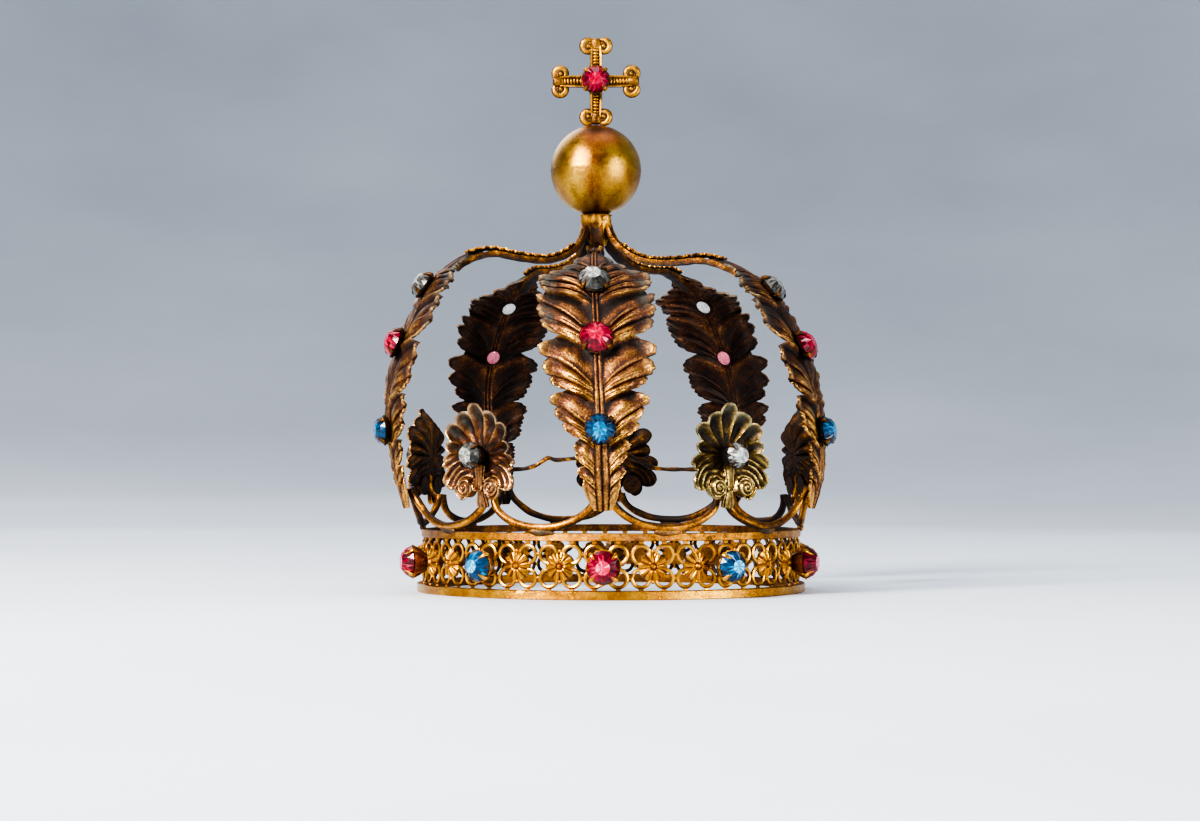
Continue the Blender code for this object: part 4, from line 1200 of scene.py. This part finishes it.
    def strip(self, curve: ArchCurve) -> list[Patch]:
        """Channel strip up to the neck, and the leaf's narrow serrated tail on it."""
        length = np.linspace(67.0, 107.4, 90)
        top = np.interp(length, [67.0, 76.0, 81.0, 98.0, 107.4], [-0.9, -0.5, -0.12, -0.1, -0.1])
        path = curve.at(length, 0.0, top - 0.55)
        out = curve.at(length, 0.0, top + 0.45) - path
        w = 1.45
        section = np.array([(0.5, w), (0.12, w - 0.4), (0.05, 0.0), (0.12, 0.4 - w), (0.5, -w), (-0.85, -w),
                            (-1.05, 0.0), (-0.85, w), (0.5, w)])
        wide = np.interp(length, [67.0, 96.0, 103.0, 107.4], [1.0, 1.0, 1.12, 1.2])
        grid = sweep(path, section, out, wide + 0.04 * np.sin(length * 1.7))
        # Painted highlights on the channel's edges, painted shade in its groove and on its back.
        wear_and_shade = np.array([0.3, -0.2, -0.4, -0.2, 0.3, -0.3, -0.6, -0.3, 0.3])
        s = np.linspace(72.5, 101.5, 170)
        saw = np.abs((s / self.tooth) % 1.0 - 0.35)
        half = np.interp(s, [72.5, 85.0, 97.0, 101.5], [1.9, 2.2, 1.8, 0.5]) * (1.0 - 0.5 * saw)
        q = np.linspace(-1.0, 1.0, 13)
        rise = 0.15 + 0.3 * np.cos(np.pi * q) ** 2 + 0.3 * np.abs(q) ** 3
        lift = np.interp(s, [72.5, 80.0, 101.5], [0.3, 0.05, -0.05])[:, None]
        rise = rise[None, :] + lift + 0.14 * np.cos(2 * np.pi * (s / self.tooth))[:, None] * np.abs(q)
        side = q[None, :] * half[:, None]
        back_swept = s[:, None] - 0.7 * np.abs(q)[None, :]
        # Painted highlights along the tail's beaded edges, darker in its middle and varying with the teeth.
        shine = 1.5 * np.abs(q)[None, :] ** 2 - 0.45 - 0.5 * saw[:, None]
        face = Patch(curve.at(back_swept, side, rise), shine)
        return [Patch(grid, wear_and_shade)] + sheet(face, curve.at(back_swept, side, rise - self.thickness))


# --- palmettes ---


PALMETTE_AZIMUTHS = {"front_right": 36.0, "back_right": 108.0, "back": 180.0, "back_left": -108.0,
                     "front_left": -36.0}


@dataclass
class Palmette:
    """Cupped shell-like leaf with a stone on a post, two volutes and a ribbed stem.

    Attributes:
        name, index: of the palmette.
        lobes: right half from the top: angle and reach of the lobe, angle and reach of the notch
            after it, curl of the lobe's tip.
        steps: columns of the grid between a lobe and a notch.
        volute, button: place beside and below the middle, and radius of the volutes.
    """

    name: str
    index: int
    radius: float = 50.2
    height: float = 34.7
    thickness: float = 0.5
    lobes: tuple[tuple[float, float, float, float, float], ...] = (
        (0.0, 12.7, 13.0, 10.9, 1.9), (27.0, 11.4, 40.0, 10.2, 1.7), (55.0, 11.9, 67.0, 9.2, 1.7),
        (77.0, 10.0, 87.0, 9.0, 1.3), (100.0, 11.7, 111.0, 10.5, 1.0), (124.0, 13.1, 139.0, 10.7, 0.6),
        (153.0, 12.0, 166.0, 7.6, 0.2))
    steps: int = 14
    volute: tuple[float, float] = (4.1, 7.8)
    button: float = 2.5
    stone_radius: float = 3.25
    girdle: float = 5.0

    def build(self) -> None:
        """Make the shell, its volutes and stem, and the stone in its setting."""
        azimuth = PALMETTE_AZIMUTHS[self.name]
        node = f"palmette_{self.name}"
        patches = self.shell(azimuth) + self.volutes(azimuth) + self.stem(azimuth)
        finish = PALMETTE_FINISH.get(self.name, SHELL)
        make_piece(f"shell_{self.name}", patches, finish.material(), (node,), 60.0)
        seat = Seat(around(self.radius, azimuth, self.height), around(1.0, azimuth, 0.0), UP)
        stone = Stone(seat, self.stone_radius, self.girdle, "clear", table=0.58, claw_half=0.36)
        stone.build(f"paste_palmette_{self.name}", f"stone_palmette_{self.name}", 60 + self.index)
        claws = stone.claws(1.2, -0.7)
        make_piece(f"settings_palmette_{self.name}", claws, CLAW.material(), (node,))

    def on(self, azimuth: float, across: Array, up: Array, out: Array) -> Array:
        """Points of the palmette's plane: across, up from its middle and out."""
        across, up, out = (part[..., None] for part in np.broadcast_arrays(across, up, out))
        middle = around(self.radius, azimuth, self.height)
        return middle + across * beside(azimuth) + up * UP + out * around(1.0, azimuth, 0.0)

    def outline(self, sign: float, rng: np.random.Generator) -> list[Array]:
        """Half of the shell's outline from the top down: angle, reach, nearness to a lobe, curl.

        Between a notch and a lobe's tip the reach is eased by a power of the share.

        Args:
            sign: 1 for the right half and -1 for the left.
            rng: draw of the lobes' reaches and curls.
        """
        f = np.linspace(0.0, 1.0, self.steps + 1)[1:]
        rows = np.array(self.lobes)
        tip = rows[:, 1] * (1.0 + rng.uniform(-0.03, 0.025, len(rows)))
        curls = rows[:, 4] * (1.0 + rng.uniform(-0.35, 0.3, len(rows)))
        tip[0], curls[0] = rows[0, 1], rows[0, 4]
        stops = [*zip(rows[1:, 0], tip[1:], curls[1:]), (180.0, 9.0, 0.0)]
        columns = [(np.zeros(1), tip[:1], np.zeros(1), curls[:1])]
        for row, far, curl, (stop, peak, lift) in zip(rows, tip, curls, stops):
            start, notch, depth = row[0], row[2], row[3]
            g = 1.0 - f
            columns.append((start + (notch - start) * f, depth + (far - depth) * (1.0 - f ** 2.4), f,
                            curl * (1.0 - f ** 3) + 0.25 * f ** 3))
            columns.append((notch + (stop - notch) * f, depth + (peak - depth) * (1.0 - g ** 2.4), g,
                            lift * (1.0 - g ** 3) + 0.25 * g ** 3))
        angle, far, wave, curl = (np.concatenate(part) for part in zip(*columns))
        return [sign * angle, far, wave, curl]

    def shell(self, azimuth: float) -> list[Patch]:
        """Shell as a polar grid.

        In the upper half each lobe is a hollow flute between ridges, with a rolled rim that curls
        forward. In the lower half ridges run in circles round the volutes, as the cosine of the
        distance from them.
        """
        rng = np.random.default_rng(80 + self.index)
        right, left = [self.outline(sign, rng) for sign in (1.0, -1.0)]
        angle, far, wave, curl = (np.concatenate([a, b[-2::-1]])[:, None] for a, b in zip(right, left))
        angle = np.radians(angle)
        q = np.linspace(0.0, 1.0, 33)[None, :] ** 0.9
        across, up = far * q * np.sin(angle), far * q * np.cos(angle)
        down = clamp((np.abs(np.degrees(angle)) - 84.0) / 20.0) * clamp(q * 3 - 0.8)
        apart = np.hypot(np.abs(across) - self.volute[0], up + self.volute[1])
        rings = np.cos(2 * np.pi * (apart - 2.9) / 1.45)
        lobe = wave ** 2
        cup = 0.9 * q ** 2.0 + curl * clamp((q - 0.5) / 0.5) ** 2
        flute = 1.25 * (lobe - 0.45) * clamp(q * 1.9 - 0.35) * (1.0 - 0.2 * q)
        flute = flute - 0.5 * bell(q, 0.72, 0.14) * (1.0 - lobe)
        scroll = 0.34 * rings * clamp(apart / 3.0) + 1.2 * bell(apart, 0.0, 4.6)
        rise = 0.2 + cup + flute * (1.0 - down) + scroll * down + 0.55 * bell(q, 0.96, 0.06)
        # Shine: painted highlights on the flutes' ridges, the rings round the volutes and the rolled rim;
        # painted shade in the flutes' hollows and in the middle behind the stone.
        upper = 1.35 * (lobe - 0.38) * clamp(q * 2) - 0.5 * bell(q, 0.72, 0.16) * (1.0 - lobe)
        shine = upper * (1.0 - down) + (0.75 * rings + 0.1) * down + 0.9 * bell(q, 0.98, 0.05) - 0.1
        shine = shine - 0.9 * bell(q, 0.0, 0.3)
        moss = 0.8 * clamp(q * 3.0 - 2.1) * clamp(0.3 + np.cos(angle))
        rise = rise + 0.12 * smooth_noise(rise.shape, (40, 9), 60 + self.index)
        rise[-1] = rise[0]
        rise[:, 0] = rise[0, 0]
        front = Patch(self.on(azimuth, across, up, rise), np.clip(shine, -1.0, 1.0), moss)
        back = self.on(azimuth, across, up, rise - self.thickness)
        rim = np.stack([front.points[:, -1], back[:, -1]])
        # Painted shade on the back face, darker behind bright ridges.
        dull = np.clip(-0.62 - 0.4 * shine, -1.0, 0.0)
        return [front, Patch(back[:, ::-1], dull[:, ::-1]), Patch(rim, 0.5, 0.5)]

    def volutes(self, azimuth: float) -> list[Patch]:
        """Two round buttons low on the shell, with a spiral ridge.

        The rise is a dome plus a cosine of the share of the radius less the angle.
        """
        patches = []
        turn = np.linspace(0.0, math.tau, 41)[None, :]
        q = np.linspace(0.0, 1.0, 15)[:, None]
        for sign in (-1.0, 1.0):
            spiral = np.cos(2 * np.pi * (2.4 * q) - sign * turn)
            dome = 1.6 + 1.5 * np.sqrt(clamp(1.0 - q ** 2.4))
            rise = np.where(q > 0.99, 0.6, dome + 0.24 * spiral * clamp(q * 4) * (q < 0.98))
            radius = self.button * np.concatenate([q, q[::-1]])
            rise = np.concatenate([rise, 0.4 + 0.0 * rise])
            grid = self.on(azimuth, sign * self.volute[0] + radius * np.cos(turn),
                           radius * np.sin(turn) - self.volute[1], rise)
            # Painted highlight along the spiral ridge and painted shade in its groove; the back is darker.
            shine = 0.7 * spiral + 0.25
            patches.append(Patch(grid, np.concatenate([shine, shine * 0 - 0.5])))
        return patches

    def stem(self, azimuth: float) -> list[Patch]:
        """Ribbed stem from under the stone down to the base tab, swept with a nine-ribbed profile."""
        up = np.linspace(-2.5, -12.6, 24)
        width = np.interp(up, [-12.6, -11.5, -9.0, -5.0, -2.5], [1.25, 1.35, 0.8, 1.0, 1.3])
        out = np.interp(up, [-12.6, -11.0, -7.0, -2.5], [0.1, 0.5, 1.3, 1.0])
        path = self.on(azimuth, 0.0, up, out)
        turn = np.linspace(0.0, math.tau, 25)
        ribs = np.cos(9 * turn)
        thick, wide = 0.75 + 0.14 * ribs, 1.25 + 0.14 * ribs
        section = np.stack([thick * np.cos(turn), wide * np.sin(turn)], axis=1)
        # Painted highlights on the ribs and painted shade between them.
        return [Patch(sweep(path, section, around(1.0, azimuth, 0.0), width), 0.5 * ribs + 0.2)]


# --- wires ---


@dataclass
class Wirework:
    """Ten festoon wires between arches and palmettes, their solder, and the thin tie wire.

    Attributes:
        wire, tie_radius: radius of the festoons' wire and of the tie wire.
        low_height, low_radius: of a festoon's lowest point.
        arch_end, palmette_end: radius and height of a festoon's ends.
        half_span: azimuth from an arch to the lowest point.
        end_side: distance of the ends from the middle of the arch and the palmette.
        solder: radii of the solder blob, along the band, outwards and up.
        tie_points: kinks of the tie wire, from left to right.
    """

    wire: float = 0.95
    low_height: float = 17.3
    low_radius: float = 48.8
    arch_end: tuple[float, float] = (52.9, 26.6)
    palmette_end: tuple[float, float] = (47.9, 24.6)
    half_span: float = 18.0
    end_side: float = 1.35
    solder: tuple[float, float, float] = (3.3, 0.8, 0.95)
    tie_radius: float = 0.5
    tie_points: tuple[tuple[float, float, float], ...] = (
        (-22.4, -46.2, 31.3), (-19.0, -46.5, 31.4), (-16.0, -46.8, 32.3), (-13.3, -47.0, 34.2),
        (-11.4, -47.0, 33.5), (-7.0, -47.2, 33.9), (-0.5, -47.4, 34.8), (5.8, -47.2, 35.3),
        (7.5, -47.0, 33.9), (11.9, -46.8, 31.6), (15.5, -46.6, 31.3), (19.4, -46.4, 31.3),
        (22.4, -46.2, 31.3))

    def build(self) -> None:
        """Make each wire in place of its node."""
        seed = 0
        for name, azimuth in ARCH_AZIMUTHS.items():
            for side, sign in (("left", -1.0), ("right", 1.0)):
                seed += 1
                make_piece(f"festoon_{name}_{side}", self.festoon(azimuth, sign, seed), WIRE.material(),
                           (f"festoon_wire_{name}_{side}",))
        points = np.array(self.tie_points)
        t = np.linspace(0.0, len(points) - 1.0, 150)
        path = np.stack([np.interp(t, np.arange(len(points)), points[:, c]) for c in range(3)], axis=1)
        kernel = np.ones(7) / 7.0
        for c in range(3):
            path[3:-3, c] = np.convolve(path[:, c], kernel, mode="valid")
        grid = sweep(path, ring_section(self.tie_radius, 8), FRONT, 1.0 + 0.1 * np.sin(t * 5.0))
        noise = smooth_noise(grid.shape[:2], (22, 2), 5) * 0.9 - 0.25
        make_piece("tie", [Patch(grid, noise)], WIRE.material(), ("tie_wire",))

    def festoon(self, azimuth: float, sign: float, seed: int) -> list[Patch]:
        """Half an ellipse of wire, and the solder blob at its lowest point.

        The angle runs from the arch's foot to the palmette. The azimuth follows its cosine and the
        climb over the lowest point is one less its sine.
        """
        turn = np.linspace(0.0, math.pi, 64)
        rising = turn < math.pi / 2
        climb = 1.0 - np.sin(turn)
        end_radius = np.where(rising, self.arch_end[0], self.palmette_end[0])
        end_height = np.where(rising, self.arch_end[1], self.palmette_end[1])
        radius = self.low_radius + (end_radius - self.low_radius) * climb
        height = self.low_height + (end_height - self.low_height) * climb
        reach = self.half_span - np.degrees(self.end_side / end_radius)
        along = self.half_span - reach * np.cos(turn)
        path = around(radius, azimuth + sign * along, height)
        lead = around(1.0, azimuth + sign * along, 0.0)
        grid = sweep(path, ring_section(self.wire, 12), lead, 1.0 + 0.05 * np.sin(turn * 9 + seed))
        grid = grid + 0.06 * smooth_noise(grid.shape[:2], (14, 4), seed)[..., None]
        grid[:, -1] = grid[:, 0]
        # Painted highlight on the wire's upper side and painted shade under it, with uneven wear from the
        # noise; the solder blob's swells are lighter, as rubbed wear with painted highlights.
        upper_side = np.sin(np.linspace(0.0, math.tau, 13) + 0.6)[None, :]
        wear_and_shade = 0.55 * upper_side + 0.5 * smooth_noise(grid.shape[:2], (9, 3), 90 + seed)
        wear_and_shade[:, -1] = wear_and_shade[:, 0]
        uneven = smooth_noise((11, 21), (3, 5), 30 + seed)
        uneven[:, -1] = uneven[:, 0]
        centre = around(self.low_radius + 0.1, azimuth + sign * self.half_span, self.low_height - 1.05)
        ahead = lead[len(lead) // 2]
        blob = lump(centre, (np.cross(UP, ahead), ahead, UP), self.solder, (11, 21), 1.0 + 0.18 * uneven)
        return [Patch(grid, wear_and_shade), Patch(blob, 0.6 * uneven, 0.35)]


# --- neck, orb and cross ---


@dataclass
class Finial:
    """Solder neck, orb, and the cross with its stone.

    Attributes:
        orb_radius, orb_height: of the ball and its middle.
        cross_height: of the cross's middle.
        volute_reach, volute_side: place of a volute along and beside its arm.
        half_thickness: of the plate.
        stone_radius, girdle: of the stone.
    """

    orb_radius: float = 11.8
    orb_height: float = 108.8
    cross_height: float = 132.0
    volute_reach: float = 9.15
    volute_side: float = 1.95
    half_thickness: float = 1.1
    stone_radius: float = 3.6
    girdle: float = 2.9

    def build(self) -> None:
        """Make the neck, the orb and the cross."""
        make_piece("solder_neck", self.neck(), CROSS.material(), ("neck",))
        make_piece("ball", self.orb(), ORB.material(), ("orb",), 80.0)
        foot = np.array([0.0, -self.half_thickness, self.cross_height])
        stone = Stone(Seat(foot, FRONT, UP), self.stone_radius, self.girdle, "red")
        stone.build("paste_cross", "stone_cross", 99)
        plate = self.cross() + stone.claws(self.stone_radius * 0.6, -0.4)
        make_piece("cross_plate", plate, CROSS.material(), ("cross",))

    def neck(self) -> list[Patch]:
        """Cup turned from radius and height, with a gathered, lumpy surface."""
        rows = np.array([(0.0, 89.2), (1.9, 89.2), (2.5, 90.6), (2.9, 92.0), (3.2, 93.4), (3.7, 94.6),
                         (3.8, 95.6), (3.65, 96.5), (4.0, 97.2), (3.2, 97.45), (0.0, 97.45)])
        turn = np.linspace(0.0, 360.0, 49)[None, :]
        uneven = smooth_noise((len(rows), turn.size), (6, 12), 3)
        uneven[:, -1] = uneven[:, 0]
        wave = 1.0 + 0.06 * np.cos(np.radians(5 * turn)) + 0.07 * uneven
        # Lumps that stand out are lighter and the dips darker: rubbed wear with painted highlights and
        # painted shade.
        return [Patch(around(rows[:, :1] * wave, turn, rows[:, 1:]), 0.1 + 0.6 * uneven)]

    def orb(self) -> list[Patch]:
        """Ball of two sheet halves: a sphere with a soldered seam round its middle and slight dents.

        A painted dark reflection, reddish brown, runs down its front, wider and darker with the height, as
        a bell curve of the azimuth.
        """
        q = np.linspace(0.0, math.pi, 73)[:, None]
        turn = np.linspace(0.0, 360.0, 129)[None, :]
        dent = smooth_noise((73, 129), (7, 12), 12)
        dent[:, -1] = dent[:, 0]
        fade = np.sin(q) ** 0.5
        seam = 0.07 * bell(q, math.pi / 2, 0.016)
        radius = self.orb_radius - 0.06 + 0.05 * dent * fade + seam
        grid = around(radius * np.sin(q), turn, self.orb_height - radius * np.cos(q))
        facing = (turn + 180.0) % 360.0 - 184.0
        height = clamp(-np.cos(q))
        # Painted dark reflection down the front, reddish brown, wider and darker towards the top.
        dark_reflection = (0.30 + 0.35 * height) * bell(facing, 0.0, 13.0 + 34.0 * height)
        return [Patch(grid, 0.25 * dent * fade - 0.05 - dark_reflection)]

    def cross(self) -> list[Patch]:
        """Four arms, turned by quarters round the cross's middle."""
        middle = self.cross_height * UP
        ways = [(math.cos(math.pi / 2 * k), math.sin(math.pi / 2 * k)) for k in range(4)]
        return [patch for c, s in ways
                for patch in self.arm(middle, np.array([c, 0.0, s]), np.array([-s, 0.0, c]))]

    def arm(self, middle: Array, along: Array, across: Array) -> list[Patch]:
        """Arm with raised edges and a beaded middle, ending in a knob and two volutes.

        Args:
            middle: of the cross.
            along: direction of the arm.
            across: direction of its width.
        """
        t = self.half_thickness
        section = np.array([(t, 1.55), (t - 0.1, 1.1), (t - 0.45, 0.75), (t - 0.45, -0.75), (t - 0.1, -1.1),
                            (t, -1.55), (0.25, -1.7), (-t, -1.55), (-t, 1.55), (0.25, 1.7), (t, 1.55)])
        # Painted highlights on the raised edges, painted shade in the sunken middle and on the back.
        shine = np.array([0.4, 0.1, -0.5, -0.5, 0.1, 0.4, -0.5, -0.35, -0.35, -0.5, 0.4])
        axes = (along, across, FRONT)
        reach = np.linspace(0.0, 9.3, 12)
        taper = np.interp(reach, [0.0, 7.0, 9.3], [1.0, 0.92, 0.8])
        patches = [Patch(sweep(middle + reach[:, None] * along, section, FRONT, taper), shine)]
        face = middle + (t - 0.35) * FRONT
        for at in np.arange(3.9, 9.0, 0.82):
            patches.append(Patch(lump(face + at * along, axes, (0.42, 0.78, 0.42)), 0.3))
        for sign in (-1.0, 1.0):
            patches += self.volute(middle + self.volute_reach * along, sign, axes)
        tip = np.linspace(8.0, 11.2, 10)
        width = np.interp(tip, [8.0, 9.2, 10.8, 11.2], [1.2, 1.6, 1.5, 0.9])
        knob = sweep(middle + tip[:, None] * along, ring_section(0.8, 12, 1.25), FRONT, width)
        return patches + [Patch(knob, -0.05)]

    def volute(self, root: Array, sign: float, axes: tuple[Array, Array, Array]) -> list[Patch]:
        """Coil of one and a half turns, whose radius falls by a power, with a bead before a dark disc.

        Args:
            root: on the arm's middle line, level with the coil's centre.
            sign: side of the arm.
            axes: along the arm, across it and ahead.
        """
        along, across, ahead = axes
        share = np.linspace(0.0, 1.0, 60)
        radius = 1.35 * (1.0 - share) ** 0.8 + 0.35
        swing = share * 10.0 - 0.9 + math.pi * 0.15
        side = sign * (self.volute_side + radius * np.sin(swing))
        coil = root + (radius * np.cos(swing))[:, None] * along + side[:, None] * across
        width = np.interp(share, [0.0, 0.1, 0.8, 1.0], [0.7, 1.0, 0.75, 0.5])
        tube = sweep(coil, ring_section(0.62, 8, 1.5), ahead, width)
        # One side of the coil painted lighter and the other darker: painted highlight and painted shade.
        shine = 0.75 * np.cos(np.linspace(0.0, math.tau, 9)) - 0.35
        centre = root + sign * self.volute_side * across
        bead = lump(centre, axes, (0.75, 0.75, 0.95))
        disc = lump(centre - 0.1 * ahead, axes, (1.95, 1.95, 0.62), blunt=0.4)
        return [Patch(tube, shine), Patch(bead, 0.2), Patch(disc, -0.4)]


# --- studio ---


@dataclass(frozen=True)
class Studio:
    """Camera, stage and lights.

    Attributes:
        distance: camera to the band's axis, level.
        azimuth: where the camera stands.
        height: of the camera over the floor.
        aim: point that the middle of the picture looks at.
        lens: focal length.
        lit: point that the lights look at, in metres.
    """

    distance: float = 650.0
    azimuth: float = 2.0
    height: float = 32.0
    aim: tuple[float, float, float] = (-1.75, AXIS_Y, 46.5)
    lens: float = 75.3
    lit: tuple[float, float, float] = (0.0, 0.0, 0.06)

    def build(self) -> None:
        """Make the camera, the dish-shaped stage and the lights."""
        self.camera()
        self.stage()
        self.lights()

    @staticmethod
    def turned(place_at: Vector, target: Vector) -> Euler:
        """Rotation of a camera or light that looks from a place at a target."""
        return (target - place_at).to_track_quat("-Z", "Y").to_euler()

    def camera(self) -> None:
        """Put the camera where the photographer stood."""
        place_at = around(self.distance, self.azimuth, self.height) + np.array([AXIS_X, AXIS_Y, 0.0])
        data = bpy.data.cameras.new("camera")
        data.lens = self.lens
        data.sensor_width = 36.0
        data.clip_start = 0.01
        eye = bpy.data.objects.new("camera", data)
        eye.location = Vector(place_at) * MM
        eye.rotation_euler = self.turned(eye.location, Vector(self.aim) * MM)
        bpy.context.scene.collection.objects.link(eye)
        bpy.context.scene.camera = eye

    def stage(self) -> None:
        """Pale floor that rises into a round wall: a line, a quarter circle and a line, turned."""
        flat, bend, wall = 0.75, 1.9, 2.6
        turns = np.linspace(0.0, math.pi / 2, 13)
        radius = np.concatenate([[0.0, flat * 0.5], flat + bend * np.sin(turns), [flat + bend]])[:, None]
        height = np.concatenate([[0.0, 0.0], bend * (1.0 - np.cos(turns)), [wall]])[:, None]
        angle = np.linspace(0.0, 360.0, 97)[None, :]
        points = around(radius, angle, height)
        mesh = bpy.data.meshes.new("stage")
        faces = quads(*points.shape[:2])[:, ::-1]
        mesh.from_pydata(points.reshape(-1, 3).tolist(), [], faces.tolist())
        mesh.shade_smooth()
        n = Nodes("pale_stage")
        tones = [(0.3, (0.50, 0.54, 0.60)), (0.7, (0.64, 0.68, 0.74))]
        n.put(n.shader, "Base Color", n.ramp(n.noise(2.2, 4.0), tones))
        n.put(n.shader, "Roughness", 0.8)
        mesh.materials.append(n.material)
        floor = bpy.data.objects.new("stage", mesh)
        bpy.context.scene.collection.objects.link(floor)

    def lights(self) -> None:
        """Soft key light from the upper left, a fill from the right, and lights above and behind."""
        rows = [
            ("key", (-0.50, -0.62, 0.50), 0.28, 20.0, (1.0, 0.96, 0.9)),
            ("fill", (0.75, -0.50, 0.12), 0.34, 7.0, (0.92, 0.96, 1.0)),
            ("top", (0.05, 0.1, 0.9), 0.6, 5.0, (1.0, 1.0, 1.0)),
            ("back", (-0.4, 0.7, 0.6), 0.6, 3.0, (0.95, 0.97, 1.0)),
        ]
        for name, at, size, power, colour in rows:
            data = bpy.data.lights.new(name, "AREA")
            data.size = size
            data.energy = power
            data.color = colour
            lamp = bpy.data.objects.new(name, data)
            lamp.location = at
            lamp.rotation_euler = self.turned(lamp.location, Vector(self.lit))
            bpy.context.scene.collection.objects.link(lamp)
        world = bpy.data.worlds.new("studio")
        world.use_nodes = True
        sky = world.node_tree.nodes["Background"].inputs
        sky["Color"].default_value = (0.75, 0.8, 0.88, 1.0)
        sky["Strength"].default_value = 0.55
        bpy.context.scene.world = world
        bpy.context.scene.view_settings.look = "AgX - High Contrast"


def write_sizes() -> None:
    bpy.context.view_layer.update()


def main() -> None:
    """Build the crown's pieces in order and report each one."""
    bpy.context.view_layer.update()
    Studio().build()
    Band().build()
    for index, name in enumerate(ARCH_AZIMUTHS):
        Arch(name, index).build()
    for index, name in enumerate(PALMETTE_AZIMUTHS):
        Palmette(name, index).build()
    Wirework().build()
    Finial().build()
    write_sizes()


if __name__ == "__main__":
    logging.basicConfig(level=logging.INFO, format="%(message)s")
    main()
